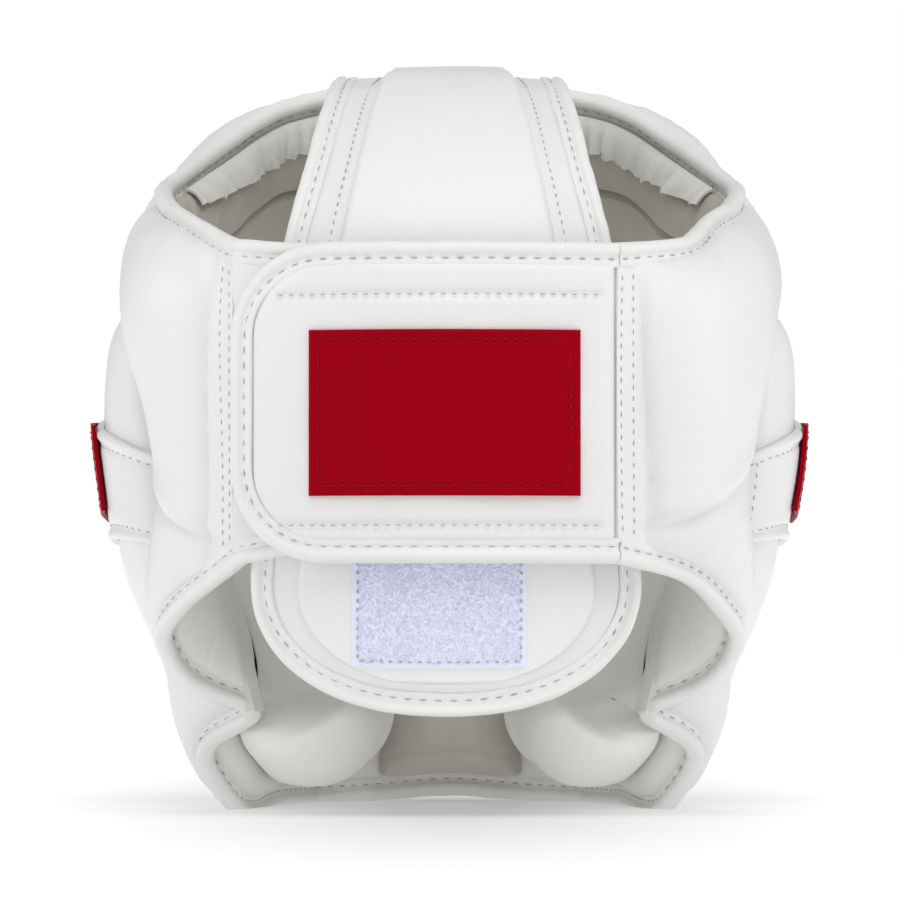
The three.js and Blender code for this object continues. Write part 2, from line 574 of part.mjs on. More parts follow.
// Bindings of the two openings beside the crown: side panel rim, then the forehead band up to the crown.
const foreheadShares = (reach) =>
  roundedSteps(FOREHEAD_STEPS.across).filter((u) => u > reach.from && u < reach.to);
const topRim = (label) => {
  const shares = foreheadShares(TOP_RIM_REACH);
  const front = label === "left" ? shares : shares.map((u) => 1 - u);
  return [...edgePoints(surfaces[label].panel, true, padShares), ...edgePoints(forehead, true, front)];
};
const leftTopRim = [...tabRim(REAR_TAB_RIMS.top, REAR_TAB_RIMS.topEnd), ...topRim("left").slice(1)];
addPiece("left_top_binding", bead(leftTopRim, BEAD_SIDES), WHITE_LEATHER);
addPiece("right_top_binding", bead(topRim("right"), BEAD_SIDES), WHITE_LEATHER);

// Binding all round the face opening: chin, cheek, brow and cheek.
const cheekEdge = (label) => {
  const { cheek } = surfaces[label];
  const lengths = lengthsOf(cheek);
  return FACE_EDGE_SHARES.map((v) => cheek(1 - BINDING_INSET / lengths.across(v), v));
};
const browEdge = edgePoints(forehead, false, foreheadShares(BROW_REACH));
const lipEdge = edgePoints(chin, true, padShares.slice(2, -2));
const faceRim = [...cheekEdge("left"), ...browEdge, ...cheekEdge("right").reverse(), ...lipEdge.reverse()];
const faceCurve = new THREE.CatmullRomCurve3(faceRim, true);
const faceRing = faceCurve.getSpacedPoints(FACE_RING_STEPS).slice(0, -1);
addPiece("face_binding", bead(faceRing, BEAD_SIDES, true), WHITE_LEATHER);

export default guard;
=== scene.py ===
import bpy
import numpy as np
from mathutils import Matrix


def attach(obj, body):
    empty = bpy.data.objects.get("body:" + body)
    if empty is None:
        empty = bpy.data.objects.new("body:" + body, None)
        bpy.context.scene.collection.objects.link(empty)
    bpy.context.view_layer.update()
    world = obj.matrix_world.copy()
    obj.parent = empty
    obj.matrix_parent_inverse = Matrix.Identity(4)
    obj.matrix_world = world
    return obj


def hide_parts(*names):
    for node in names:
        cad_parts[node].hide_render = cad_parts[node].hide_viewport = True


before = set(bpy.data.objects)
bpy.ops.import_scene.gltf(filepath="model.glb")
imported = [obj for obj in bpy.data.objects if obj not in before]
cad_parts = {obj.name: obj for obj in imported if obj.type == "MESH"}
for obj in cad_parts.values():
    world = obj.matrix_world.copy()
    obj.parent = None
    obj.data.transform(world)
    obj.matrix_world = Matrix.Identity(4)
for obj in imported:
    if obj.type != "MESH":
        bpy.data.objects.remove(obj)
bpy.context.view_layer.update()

# Crown panel. A leather strip over foam that runs from the brow over the head and down the back,
# where it ends in a rounded tongue. Its padded middle stands proud of a flat border, and two rows
# of thread hold the border. The section tables are in millimetres, measured from the ears.
MM = 0.001
DEPTH_SHIFT = -12.5
EDGE = 4.0
CROWN_COLUMNS = ("forward", "up", "half", "pad half", "proud", "bend")
CROWN = np.array([  # the line over the head, half widths of panel and pad, the pad's height, radius across
    (93, 252.5, 38.5, 24, 2, 420), (40, 252, 39, 21, 2.2, 420), (0, 250, 39.5, 20, 2.4, 380),
    (-40, 241, 42, 24, 3.6, 300), (-72, 220, 47, 29, 4.5, 220), (-93, 192, 54, 35, 4.5, 160),
    (-102, 158, 58, 40, 4, 140), (-104, 118, 61, 45, 4.5, 140), (-101, 76, 64, 49, 4.5, 140),
    (-94, 33, 64, 49, 4.5, 140)], float)
CROWN_BORDER = 3.4
CROWN_SUNK = 0.8
CROWN_LEAN = -1.4
CROWN_PAD_ROUND = 2.2
CROWN_GRID = (92, 220)
BACK_ROWS = 0.7  # the share of the grid's rows above the tongue
PAD_COLUMNS = 0.7  # the share of its columns on the padded middle
CROWN_ROW_ENDS = (0.02, 0.86)
PAD_STITCH_GAP = 3.6
STITCH_PITCH, STITCH_LENGTH, STITCH_WIDTH = 3.6, 0.5, 0.5  # the length is a share of the pitch
TONGUE_TOP, TONGUE_BOTTOM, TONGUE_POWER, TONGUE_PAD_INSET = 76.0, 33.0, 2.3, 11.0
BOUND_MARGIN = 7.2


def along_spline(controls, share):
    """Points at shares of a smooth line through control points, which may differ for each share."""
    controls = np.asarray(controls, float)
    share = np.atleast_1d(np.asarray(share, float))
    if controls.ndim == 2:
        controls = np.repeat(controls[:, None, :], len(share), axis=1)
    last = len(controls) - 1
    place = np.clip(share, 0, 1) * last
    step = np.minimum(place.astype(int), last - 1)
    rest = (place - step)[:, None]
    each = np.arange(len(share))
    p1, p2 = controls[step, each], controls[step + 1, each]
    p0 = np.where((step > 0)[:, None], controls[np.maximum(step - 1, 0), each], 2 * p1 - p2)
    p3 = np.where((step + 2 <= last)[:, None], controls[np.minimum(step + 2, last), each], 2 * p2 - p1)
    gaps = [np.maximum(np.linalg.norm(b - a, axis=1), 1e-6)[:, None] ** 0.5
            for a, b in ((p0, p1), (p1, p2), (p2, p3))]
    d0, d1, d2 = gaps
    m1 = ((p1 - p0) / d0 - (p2 - p0) / (d0 + d1) + (p2 - p1) / d1) * d1
    m2 = ((p2 - p1) / d1 - (p3 - p1) / (d1 + d2) + (p3 - p2) / d2) * d1
    s, q, c = rest, rest ** 2, rest ** 3
    return (2 * c - 3 * q + 1) * p1 + (c - 2 * q + s) * m1 + (3 * q - 2 * c) * p2 + (c - q) * m2


def unit(vectors):
    return vectors / np.maximum(np.linalg.norm(vectors, axis=1), 1e-9)[:, None]


def quarter_round(distance, radius):
    """0 at an edge, rising as a quarter circle to 1 at the radius and beyond."""
    return np.sqrt(1 - (1 - np.clip(distance / radius, 0, 1)) ** 2)


def soft_noise(points, size, seed):
    """Smooth noise from -1 to 1 with features of about the given size."""
    draw = np.random.default_rng(seed)
    total = np.zeros(len(points))
    for _ in range(7):
        direction = draw.normal(size=3)
        direction *= draw.uniform(0.7, 1.5) * 2 * np.pi / size / np.linalg.norm(direction)
        total += np.sin(points @ direction + draw.uniform(0, 6.3))
    return total / 3.5


def new_grid(name, across, up):
    """A flat grid one unit wide and high."""
    bpy.ops.object.select_all(action="DESELECT")
    bpy.ops.mesh.primitive_grid_add(x_subdivisions=across, y_subdivisions=up, size=1, location=(0.5, 0.5, 0))
    grid = bpy.context.active_object
    grid.name = grid.data.name = name
    bpy.ops.object.transform_apply(location=True, rotation=True, scale=True)
    return grid


def flat_places(piece):
    """A mesh's points, one to a row."""
    flat = np.empty(len(piece.data.vertices) * 3)
    piece.data.vertices.foreach_get("co", flat)
    return flat.reshape(-1, 3)


def put(piece, placed):
    """Moves a mesh's points to places in millimetres, none of them under the floor."""
    placed = placed + (0, DEPTH_SHIFT, 0)
    placed[:, 2] = np.maximum(placed[:, 2], 0)
    piece.data.vertices.foreach_set("co", (placed * MM).ravel())


def finish_mesh(piece, angle=40, fill=False):
    """Merges doubles, closes open ends where asked, turns the faces out and smooths the shading."""
    bpy.ops.object.select_all(action="DESELECT")
    piece.select_set(True)
    bpy.context.view_layer.objects.active = piece
    bpy.ops.object.mode_set(mode="EDIT")
    bpy.ops.mesh.select_all(action="SELECT")
    bpy.ops.mesh.remove_doubles(threshold=0.00002)
    if fill:
        bpy.ops.mesh.fill_holes(sides=0)
        bpy.ops.mesh.select_all(action="SELECT")
    bpy.ops.mesh.normals_make_consistent(inside=False)
    bpy.ops.object.mode_set(mode="OBJECT")
    bpy.ops.object.shade_smooth_by_angle(angle=np.radians(angle))


def feed(tree, node, inputs):
    """Sets a shader node's inputs, each to a value or to the output that feeds it."""
    for socket, value in inputs.items():
        if isinstance(value, bpy.types.NodeSocket):
            tree.links.new(value, node.inputs[socket])
        else:
            node.inputs[socket].default_value = value


def new_node(tree, kind, inputs, **settings):
    """A shader node's outputs, once its settings and inputs are made."""
    node = tree.nodes.new("ShaderNode" + kind)
    for setting, value in settings.items():
        setattr(node, setting, value)
    feed(tree, node, inputs)
    return node.outputs


def leather_grain_group():
    """Fine creased grain and a slow change of tone, as values that a leather's nodes read."""
    group = bpy.data.node_groups.new("leather_grain", "ShaderNodeTree")
    for name, way, kind in (("Vector", "INPUT", "Vector"), ("Cells per metre", "INPUT", "Float"),
                            ("Crease depth", "INPUT", "Float"), ("Height", "OUTPUT", "Float"),
                            ("Tone", "OUTPUT", "Float")):
        group.interface.new_socket(name, in_out=way, socket_type="NodeSocket" + kind)
    given = group.nodes.new("NodeGroupInput").outputs
    place = given["Vector"]
    cells = new_node(group, "TexVoronoi", {"Vector": place, "Scale": given["Cells per metre"]},
                     feature="DISTANCE_TO_EDGE")
    creases = new_node(group, "MapRange", {"From Max": 0.35, "Value": cells["Distance"]})
    folds = new_node(group, "TexNoise", {"Vector": place, "Scale": 55, "Detail": 4})
    slow = new_node(group, "TexNoise", {"Vector": place, "Scale": 16})
    weighed = new_node(group, "Math", {0: creases["Result"], 1: given["Crease depth"]}, operation="MULTIPLY")
    height = new_node(group, "Math", {0: weighed[0], 1: folds["Fac"]}, operation="ADD")
    feed(group, group.nodes.new("NodeGroupOutput"), {"Height": height[0], "Tone": slow["Fac"]})
    return group


LEATHER_GRAIN = leather_grain_group()


def leather(name, light, dark, roughness, cells, depth, bump, specular=0.4):
    """Leather with a fine grain: its two tones, sheen, grain size and how deep the grain looks."""
    material = bpy.data.materials.new(name)
    material.use_nodes = True
    tree = material.node_tree
    place = new_node(tree, "TexCoord", {})["Object"]
    grain = new_node(tree, "Group", {"Vector": place, "Cells per metre": cells, "Crease depth": depth},
                     node_tree=LEATHER_GRAIN)
    tone = new_node(tree, "Mix", {"A": (*dark, 1), "B": (*light, 1), "Factor": grain["Tone"]},
                    data_type="RGBA")
    gloss = new_node(tree, "MapRange", {"To Min": roughness - 0.07, "To Max": roughness + 0.07,
                                        "Value": grain["Tone"]})
    relief = new_node(tree, "Bump", {"Strength": bump, "Distance": 0.0004, "Height": grain["Height"]})
    feed(tree, tree.nodes["Principled BSDF"], {
        "Specular IOR Level": specular, "Base Color": tone["Result"], "Roughness": gloss["Result"],
        "Normal": relief["Normal"]})
    return material


WHITE_LEATHER = leather("white_leather", (0.80, 0.80, 0.79), (0.77, 0.77, 0.76), 0.37, 800, 0.5, 0.22)
# A darker copy of the lining, for the linings of crown, forehead and flap and the chin cushion: painted shade
# for their shaded insides.
SHADED_LINING_LEATHER = leather("lining_leather", (0.56, 0.54, 0.48), (0.49, 0.47, 0.41), 0.5, 650, 0.5, 0.25)
PAD_LEATHER = leather("pad_leather", (0.78, 0.77, 0.74), (0.74, 0.73, 0.695), 0.45, 650, 0.4, 0.2)
# The white thread is grey, darker than the leather: its own grey with painted shade of the stitch holes.
WHITE_THREAD = leather("white_thread", (0.56, 0.56, 0.54), (0.36, 0.36, 0.35), 0.6, 1800, 0.8, 0.4)


def dress(piece, slot, *nodes, fill=None):
    """Fixes a piece to the guard's root body and hides the nodes it stands for; its slot and filling are not
    used.
    """
    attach(piece, "root")
    if nodes:
        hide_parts(*nodes)


def add_wall(name, grid, outer, inner, materials, *nodes, slot="white_leather", fill=None, even=0):
    """A wall between two skins, evened out by rounds of smoothing where asked.

    A skin gives places at shares across and up it. The inner one has the last material."""
    wall = new_grid(name, *grid)
    thick = wall.modifiers.new("wall", "SOLIDIFY")
    thick.thickness = 1
    thick.offset = -1
    bpy.ops.object.modifier_apply(modifier=thick.name)
    flat = flat_places(wall)
    within = flat[:, 2] < -0.5
    placed = np.empty_like(flat)
    for chosen, skin in ((~within, outer), (within, inner)):
        shares = np.clip(flat[chosen, :2], 0, 1)
        placed[chosen] = skin(shares[:, 0], shares[:, 1])
    for material in materials:
        wall.data.materials.append(material)
    for face in wall.data.polygons:
        face.material_index = len(materials) - 1 if all(within[i] for i in face.vertices) else 0
    put(wall, placed)
    finish_mesh(wall)
    if even:
        soft = wall.modifiers.new("even", "SMOOTH")
        soft.iterations = even
        bpy.ops.object.modifier_apply(modifier=soft.name)
    dress(wall, slot, *nodes, fill=fill)


def crown_value(column, share):
    """A column of the section table at shares of the crown's length."""
    values = CROWN[:, CROWN_COLUMNS.index(column)]
    return np.interp(share * (len(CROWN) - 1), np.arange(len(CROWN)), values)


CROWN_LINE = np.column_stack([np.zeros(len(CROWN)), CROWN[:, 0], CROWN[:, 1]])
CROWN_SHARES = np.linspace(0.5, 1, 400)
CROWN_HEIGHTS = along_spline(CROWN_LINE, CROWN_SHARES)[:, 2]


def crown_share_at(height):
    return np.interp(-np.asarray(height, float), -CROWN_HEIGHTS, CROWN_SHARES)


def crown_point(share, x, lift):
    """The place on the crown at a share of its length, a distance from its middle and a lift off it."""
    step = 0.002
    before = along_spline(CROWN_LINE, np.clip(share - step, 0, 1))
    after = along_spline(CROWN_LINE, np.clip(share + step, 0, 1))
    along = unit(after - before)
    out = np.column_stack([np.zeros(len(along)), along[:, 2], -along[:, 1]])
    fall = x ** 2 / (2 * crown_value("bend", share))
    point = along_spline(CROWN_LINE, share) + out * (lift - fall)[:, None]
    point[:, 0] = x + CROWN_LEAN * share
    return point


def tongue_half(half, height, bottom):
    drop = np.clip((TONGUE_TOP - height) / (TONGUE_TOP - bottom), 0, 1)
    return half * (1 - drop ** TONGUE_POWER) ** (1 / TONGUE_POWER)


def crown_half(share, inset):
    height = along_spline(CROWN_LINE, share)[:, 2]
    height = np.where(share < 0.5, TONGUE_TOP, height)
    return tongue_half(crown_value("half", share) - inset, height, TONGUE_BOTTOM + inset)


def crown_pad_half(share):
    height = np.where(share < 0.5, TONGUE_TOP, along_spline(CROWN_LINE, share)[:, 2])
    half = crown_value("pad half", share)
    return height, tongue_half(half, height, TONGUE_BOTTOM + TONGUE_PAD_INSET)


def crown_lift(share, x):
    """How high the padded middle stands at a place on the crown."""
    height, pad = crown_pad_half(share)
    side = quarter_round(pad - np.abs(x), CROWN_PAD_ROUND)
    end = quarter_round(height - TONGUE_BOTTOM - TONGUE_PAD_INSET, CROWN_PAD_ROUND)
    return (crown_value("proud", share) + CROWN_SUNK) * np.minimum(side, end)


TONGUE_START = crown_share_at(TONGUE_TOP)
TONGUE_END = crown_share_at(TONGUE_BOTTOM + BOUND_MARGIN + 0.05)


def crown_skin(sign, proud):
    """The outer or inner skin, its rows and columns drawn towards the edges of the tongue and the pad."""
    def skin(u, v):
        past = np.sin(np.clip((v - BACK_ROWS) / (1 - BACK_ROWS), 0, 1) * np.pi / 2)
        share = np.where(v < BACK_ROWS, v / BACK_ROWS * TONGUE_START,
                         TONGUE_START + (TONGUE_END - TONGUE_START) * past)
        half = crown_half(share, BOUND_MARGIN)
        pad = np.clip(crown_pad_half(share)[1], 0.5 * half, 0.9 * half)
        aside = np.abs(2 * u - 1)
        on_pad = pad * (1 - (1 - np.clip(aside / PAD_COLUMNS, 0, 1)) ** 1.7)
        past = np.clip(aside - PAD_COLUMNS, 0, 1) / (1 - PAD_COLUMNS)
        x = np.sign(u - 0.5) * np.where(aside < PAD_COLUMNS, on_pad, pad + (half - pad) * past ** 1.5)
        lift = CROWN_BORDER / 2 + proud * crown_lift(share, x)
        place = crown_point(share, x, sign * lift)
        return crown_point(share, x, sign * (lift + 0.25 * soft_noise(place, size=40, seed=3)))
    return skin


add_wall("crown_cover", CROWN_GRID, crown_skin(1, 1.0), crown_skin(-1, 0.8), [WHITE_LEATHER, SHADED_LINING_LEATHER],
         "crown_panel", fill=0.7)


def path_lengths(points):
    return np.concatenate([[0], np.cumsum(np.linalg.norm(np.diff(points, axis=0), axis=1))])


def read_along(where, lengths, values):
    """Points read off a path at given lengths along it."""
    return np.column_stack([np.interp(where, lengths, values[:, k]) for k in range(3)])


def even_along(points, normals, pitch):
    """Places, directions and normals at an even pitch along a path of points."""
    lengths = path_lengths(points)
    count = max(int(lengths[-1] / pitch), 1)
    at = (np.arange(count) + 0.5) * lengths[-1] / count
    ahead, behind = read_along(at + 0.4, lengths, points), read_along(at - 0.4, lengths, points)
    return read_along(at, lengths, points), unit(ahead - behind), unit(read_along(at, lengths, normals))


def fill_with(piece, name, places, polygons, slot, material, angle):
    """Gives a piece one mesh of many small joined shapes."""
    piece.name = name
    piece.data = bpy.data.meshes.new(name)
    piece.data.from_pydata(((places + (0, DEPTH_SHIFT, 0)) * MM).tolist(), [], polygons)
    piece.data.materials.append(material)
    finish_mesh(piece, angle)
    dress(piece, slot)


def sew(name, seams, pitch=STITCH_PITCH, slot="white_leather", thread=WHITE_THREAD, height=0.36):
    """Rows of stitches: each a small rounded bar of thread that dips into the leather at its two ends."""
    bpy.ops.object.select_all(action="DESELECT")
    bpy.ops.mesh.primitive_uv_sphere_add(segments=6, ring_count=4, radius=0.5)
    stitch = bpy.context.active_object
    shape = np.array([v.co for v in stitch.data.vertices])
    faces = [tuple(face.vertices) for face in stitch.data.polygons]
    vertices, polygons = [], []
    for points, normals in seams:
        for place, along, normal in zip(*even_along(np.asarray(points), np.asarray(normals), pitch)):
            normal = normal - along * (normal @ along)
            normal = normal / max(np.linalg.norm(normal), 1e-9)
            across = np.cross(normal, along)
            bar = (shape[:, 2:3] * STITCH_LENGTH * pitch * along + shape[:, 0:1] * STITCH_WIDTH * across
                   + (shape[:, 1:2] * 2 * height) * normal)
            base = len(vertices) * len(shape)
            vertices.append(place + bar)
            polygons += [tuple(base + i for i in face) for face in faces]
    fill_with(stitch, name, np.concatenate(vertices), polygons, slot, thread, 60)


def crown_seam(side):
    """A row of thread on the border, beside the padded middle."""
    share = np.linspace(*CROWN_ROW_ENDS, 200)
    x = side * (crown_value("pad half", share) + PAD_STITCH_GAP)
    lift = CROWN_BORDER / 2 + crown_lift(share, x)
    place = crown_point(share, x, lift)
    return place, unit(crown_point(share, x, lift + 1) - place)


crown_rows = [crown_seam(side) for side in (-1, 1)]
sew("crown_stitching", crown_rows)

# Side panels. Puffed leather panels from the seams beside the flap round to the ears, cut in one with
# the jaw, where each folds inwards at its front lower corner. Foam fills them between cover and lining.
SIDE_ROWS = [  # points [out, forward, up] of the foot, waist, crest and rim, from behind the ear forwards
    [(90, -66, 66), (87, -68, 110), (94, -66, 172), (85, -56, 200)],
    [(97, -50, 56), (84, -42, 108), (99, -34, 178), (94, -28, 207)],
    [(89, -40, 43), (84, -26, 106), (99, -8, 178), (98, -5, 213)],
    [(67, -34, 33), (84, -13, 104), (96, 10, 172), (98, 15, 217)]]
REAR_ROWS = {  # the same points of the rear edge, where the flap or its underlap is sewn on
    "left": [[(70, -87, 81), (70, -92, 112), (70, -92.5, 160), (70, -88, 190)]],
    "right": [[(53.6, -106, 83), (53.6, -106, 112), (53.6, -106, 160), (53.6, -106, 188)],
              [(77, -84, 77), (78, -92, 112), (78, -93, 160), (76, -85, 191)]]}
SIDES = (("left", -1), ("right", 1))
SIDE_PUFF = {"out": 11, "into": 8, "round": 26, "flat": 9.0, "start": 46.0, "grid": (84, 84)}
SIDE_PUCKERS = {"height": 0.5, "reach": 9.0, "start": 2.5, "waves": 95}
SIDE_FOLD = {"height": 2.2, "u": 0.06, "v": 0.05, "slope": 0.85, "groove": 0.02, "ridge": 0.035,
             "apart": 0.06}
SEAM_ROWS = (0.011, 0.043)
SEAM_MARGIN = 0.1
ROW_CROWDING = 0.55
HEAD_MIDDLE = np.array([0, 0, 130.0])


def tabled(surface, steps=72):
    """The same surface read smoothly from a fine table of its points, which is quicker."""
    u, v = np.meshgrid(np.linspace(0, 1, steps + 1), np.linspace(0, 1, steps + 1), indexing="ij")
    table = surface(u.ravel(), v.ravel()).reshape(steps + 1, steps + 1, 3)
    table = np.concatenate([2 * table[:1] - table[1:2], table, 2 * table[-1:] - table[-2:-1]])
    table = np.concatenate([2 * table[:, :1] - table[:, 1:2], table,
                            2 * table[:, -1:] - table[:, -2:-1]], axis=1)

    def weighed(share):
        place = np.clip(share, 0, 1) * steps
        first = np.minimum(place.astype(int), steps - 1)
        t = place - first
        return first, (((2 - t) * t - 1) * t / 2, ((3 * t - 5) * t * t + 2) / 2,
                       ((4 - 3 * t) * t + 1) * t / 2, (t - 1) * t * t / 2)

    def read(u, v):
        (i, across), (j, up) = weighed(u), weighed(v)
        return sum(table[i + p, j + q] * (across[p] * up[q])[:, None] for p in range(4) for q in range(4))
    return read


def section_surface(rows, side=1):
    """A smooth surface through rows of section points, mirrored to the left where side is -1."""
    table = np.array(rows, float) * (side, 1, 1)

    def surface(u, v):
        ribs = np.stack([along_spline(table[:, k], u) for k in range(table.shape[1])])
        steps = np.linspace(0, 1, 17)
        drawn = np.stack([along_spline(ribs, np.full(len(u), s)) for s in steps])
        lengths = np.concatenate([np.zeros((1, len(u))),
                                  np.cumsum(np.linalg.norm(np.diff(drawn, axis=0), axis=2), axis=0)])
        lengths /= lengths[-1]
        low = np.clip((lengths <= np.clip(v, 0, 1)).sum(0) - 1, 0, len(steps) - 2)
        each = np.arange(len(u))
        part = (v - lengths[low, each]) / (lengths[low + 1, each] - lengths[low, each])
        return along_spline(ribs, steps[low] + np.clip(part, 0, 1) * (steps[1] - steps[0]))
    return tabled(surface)


def both_halves(rows):
    flipped = [[(-x, y, z) for x, y, z in row] for row in rows]
    return flipped + rows[-2::-1]


def lengths_of(surface):
    """Functions giving a surface's length across it at a height, and up it at a width."""
    steps = np.linspace(0, 1, 9)
    across = [path_lengths(surface(steps, np.full(9, s)))[-1] for s in steps]
    up = [path_lengths(surface(np.full(9, s), steps))[-1] for s in steps]
    return (lambda v: np.interp(v, steps, across)), (lambda u: np.interp(u, steps, up))


def raw_normals(surface, u, v, step=0.004):
    """Unit normals that face either way, from the surface's slopes."""
    low_u, high_u = np.clip(u - step, 0, 1), np.clip(u + step, 0, 1)
    low_v, high_v = np.clip(v - step, 0, 1), np.clip(v + step, 0, 1)
    return unit(np.cross(surface(high_u, v) - surface(low_u, v), surface(u, high_v) - surface(u, low_v)))


def normals_of(surface):
    """The surface's unit normals, facing away from the middle of the head."""
    half = np.array([0.5])
    facing = np.sign(np.sum(raw_normals(surface, half, half) * (surface(half, half) - HEAD_MIDDLE)))
    return lambda u, v: facing * raw_normals(surface, u, v)


def inset_surface(surface, start=SEAM_MARGIN, end=SEAM_MARGIN, foot=BOUND_MARGIN, head=BOUND_MARGIN):
    """The part of a surface inside a margin along each of its edges."""
    across, up = lengths_of(surface)

    def inner_part(u, v):
        wide, high = across(v), up(u)
        low = (foot(u) if callable(foot) else foot) / high
        return surface(start / wide + (1 - (start + end) / wide) * u, low + (1 - low - head / high) * v)
    return inner_part


def padded_skins(surface, puff, dents=None):
    """Outer and inner skins of a padded wall, full in the middle and thin at its sewn edges."""
    across, up = lengths_of(surface)
    normals = normals_of(surface)

    def skin(sign, swell):
        def place(u, v):
            start = quarter_round(u * across(v) - puff.get("flat", 0), puff.get("start", puff["round"]))
            end = quarter_round((1 - u) * across(v), puff["round"])
            foot = quarter_round(v * up(u), puff.get("foot", puff["round"]))
            full = start * end * foot * quarter_round((1 - v) * up(u), puff["round"])
            base, normal = surface(u, v), normals(u, v)
            lift = EDGE / 2 + swell * full + 0.5 * full * soft_noise(base, size=45, seed=11)
            if dents is not None:
                lift = lift + dents(u, v, np.minimum(v, 1 - v) * up(u), sign)
            return base + normal * (sign * lift)[:, None]
        return place
    return skin(1, puff["out"]), skin(-1, puff["into"])


def crowded(skin):
    """The same skin with more of its rows near its rounded edges."""
    def drawn(share):
        return share - ROW_CROWDING * np.sin(2 * np.pi * share) / (2 * np.pi)
    return lambda u, v: skin(drawn(u), drawn(v))


def padded_piece(name, surface, puff, materials, node, dents=None, fill=0.8, **finish):
    """A padded piece: a wall between two puffed skins, which it returns."""
    outer, inner = padded_skins(surface, puff, dents)
    add_wall(name, puff["grid"], crowded(outer), crowded(inner), materials, node, fill=fill, **finish)
    return outer, inner


def bell(values, middle, width):
    """1 at the middle, falling smoothly to 0 on either side."""
    return np.exp(-((values - middle) / width) ** 2)


def side_dents(u, v, high, sign):
    """Shallow puckers that run in from the bound rims, and soft folds from the ends of the rear seam."""
    near = np.exp(-high / SIDE_PUCKERS["reach"]) * (1 - np.exp(-high / SIDE_PUCKERS["start"]))
    puckers = SIDE_PUCKERS["height"] * near * np.sin(u * SIDE_PUCKERS["waves"] + 3 * np.sin(u * 17))
    off = v - SIDE_FOLD["v"] - SIDE_FOLD["slope"] * (u - SIDE_FOLD["u"])
    reach = np.clip((u - 0.03) / 0.1, 0, 1) * np.clip((0.5 - u) / 0.3, 0, 1)
    folds = 0.6 * bell(off, SIDE_FOLD["apart"], SIDE_FOLD["ridge"]) - bell(off, 0, SIDE_FOLD["groove"])
    return puckers + SIDE_FOLD["height"] * reach * folds * np.clip(high / 12, 0, 1)


side_surfaces, side_skins = {}, {}
for label, side in SIDES:
    side_surfaces[label] = section_surface(REAR_ROWS[label] + SIDE_ROWS, side)
    side_skins[label] = padded_piece(
        label + "_side_cover", inset_surface(side_surfaces[label]), SIDE_PUFF,
        [WHITE_LEATHER, PAD_LEATHER], label + "_side_panel", dents=side_dents)


def skin_seam(skin, u, v):
    """A row of places on a skin with the normals there, for a seam."""
    u, v = np.broadcast_arrays(np.asarray(u, float), np.asarray(v, float))
    place, normal = skin(u, v), raw_normals(skin, u, v, 0.006)
    return place, normal * np.sign(np.sum(normal * (place - HEAD_MIDDLE)))


seam_steps = np.linspace(0.03, 0.97, 80)
side_seams = [skin_seam(side_skins[label][0], row, seam_steps) for label, _ in SIDES for row in SEAM_ROWS]
sew("side_stitching", side_seams)

# Cheek guards. The thickest outer pads, leather over foam, from the jaw to the face opening. Each is sewn
# to the forehead band above it and to the side panel behind it, where the leather turns in as a fold.
CHEEK_ROWS = [  # points [out, forward, up] of the foot, jaw, waist, crest and top, from the fold forwards
    [(66, -24, 30), (74, -15, 60), (86, -4, 92), (94, 8, 140), (96, 15, 174)],
    [(84, -12, 18), (81, 2, 48), (96, 16, 90), (103, 24, 142), (101, 30, 176)],
    [(74, 4, -1), (77, 24, 38), (96, 50, 86), (102, 56, 140), (95, 60, 180)],
    [(60, 66, -1), (68, 76, 36), (85, 92, 80), (88, 95, 136), (79, 94, 183)],
    [(47, 106, -1), (52, 112, 34), (60, 120, 74), (62, 121, 132), (60, 113, 186)]]
CHEEK_PUFF = {"out": 14, "into": 10, "round": 24, "grid": (84, 84)}
JAW_FOLD = {"low": 34, "high": 168, "bow": 13, "lap": 0, "half": 1.5, "grid": (16, 60)}
FOLD_REACH = (-0.3, 1.15)  # the shares of the gap between the two edges where a fold starts and ends
cheek_surfaces, cheek_skins = {}, {}
for label, side in SIDES:
    cheek_surfaces[label] = section_surface(CHEEK_ROWS, side)
    cheek_skins[label] = padded_piece(
        label + "_cheek_cover", inset_surface(cheek_surfaces[label], end=BOUND_MARGIN, head=SEAM_MARGIN),
        CHEEK_PUFF, [WHITE_LEATHER, PAD_LEATHER], label + "_cheek_guard")


def at_heights(surface, share, heights):
    """Places up a surface's side edge at given heights."""
    edge = surface(np.full(80, float(share)), np.linspace(0, 1, 80))
    return read_along(heights, edge[:, 2], edge)


def add_fold(name, rear, front, side, fold, material):
    """The turned-in leather of a seam, from one piece's front edge to the next one's rear edge."""
    def skin_at(lift):
        def skin(u, v):
            heights = fold["low"] + (fold["high"] - fold["low"]) * v
            back, fore = at_heights(*rear, heights), at_heights(*front, heights)
            place = back + (fore - back) * (FOLD_REACH[0] + (FOLD_REACH[1] - FOLD_REACH[0]) * u)[:, None]
            place[:, 0] -= side * (lift + fold["bow"] * u * (1 - u))
            place[:, 1] += fold["lap"] * (2 * u - 1)
            return place
        return skin
    add_wall(name, fold["grid"], skin_at(-fold["half"]), skin_at(fold["half"]), [material])


for label, side in SIDES:
    add_fold(label + "_jaw_fold", (side_surfaces[label], 1), (cheek_surfaces[label], 0), side, JAW_FOLD,
             PAD_LEATHER)

# Forehead band. A thick band of leather over foam across the brow, sewn between the side panels with a
# narrow strip behind each seam. Its lining is gathered and crinkles where it turns over the top rim.
FOREHEAD_ROWS = [  # points [out, forward, up] of the brow edge, middle and rim, from the side to the middle
    [(97, 11.6, 175.4), (98, 14, 196), (98, 15.8, 217)],
    [(94, 60, 180.6), (88, 60, 207), (82, 50, 232)],
    [(74, 97, 185.4), (75, 99, 217), (58, 78, 249)],
    [(40, 116, 189), (40, 119, 222), (30, 91.5, 255.5)],
    [(0, 122, 190), (0, 125, 224), (0, 93, 257)]]
FOREHEAD_PUFF = {"out": 14, "into": 12, "round": 22, "grid": (190, 60)}
BROW_TURN = (0.2, 0.29)
BROW_SET_BACK = BOUND_MARGIN + 0.9
GATHERS = {"outside": 0.3, "lining": 0.5, "rim_reach": 13.0, "brow_reach": 5.0, "brow": 0.4, "start": 2.0}
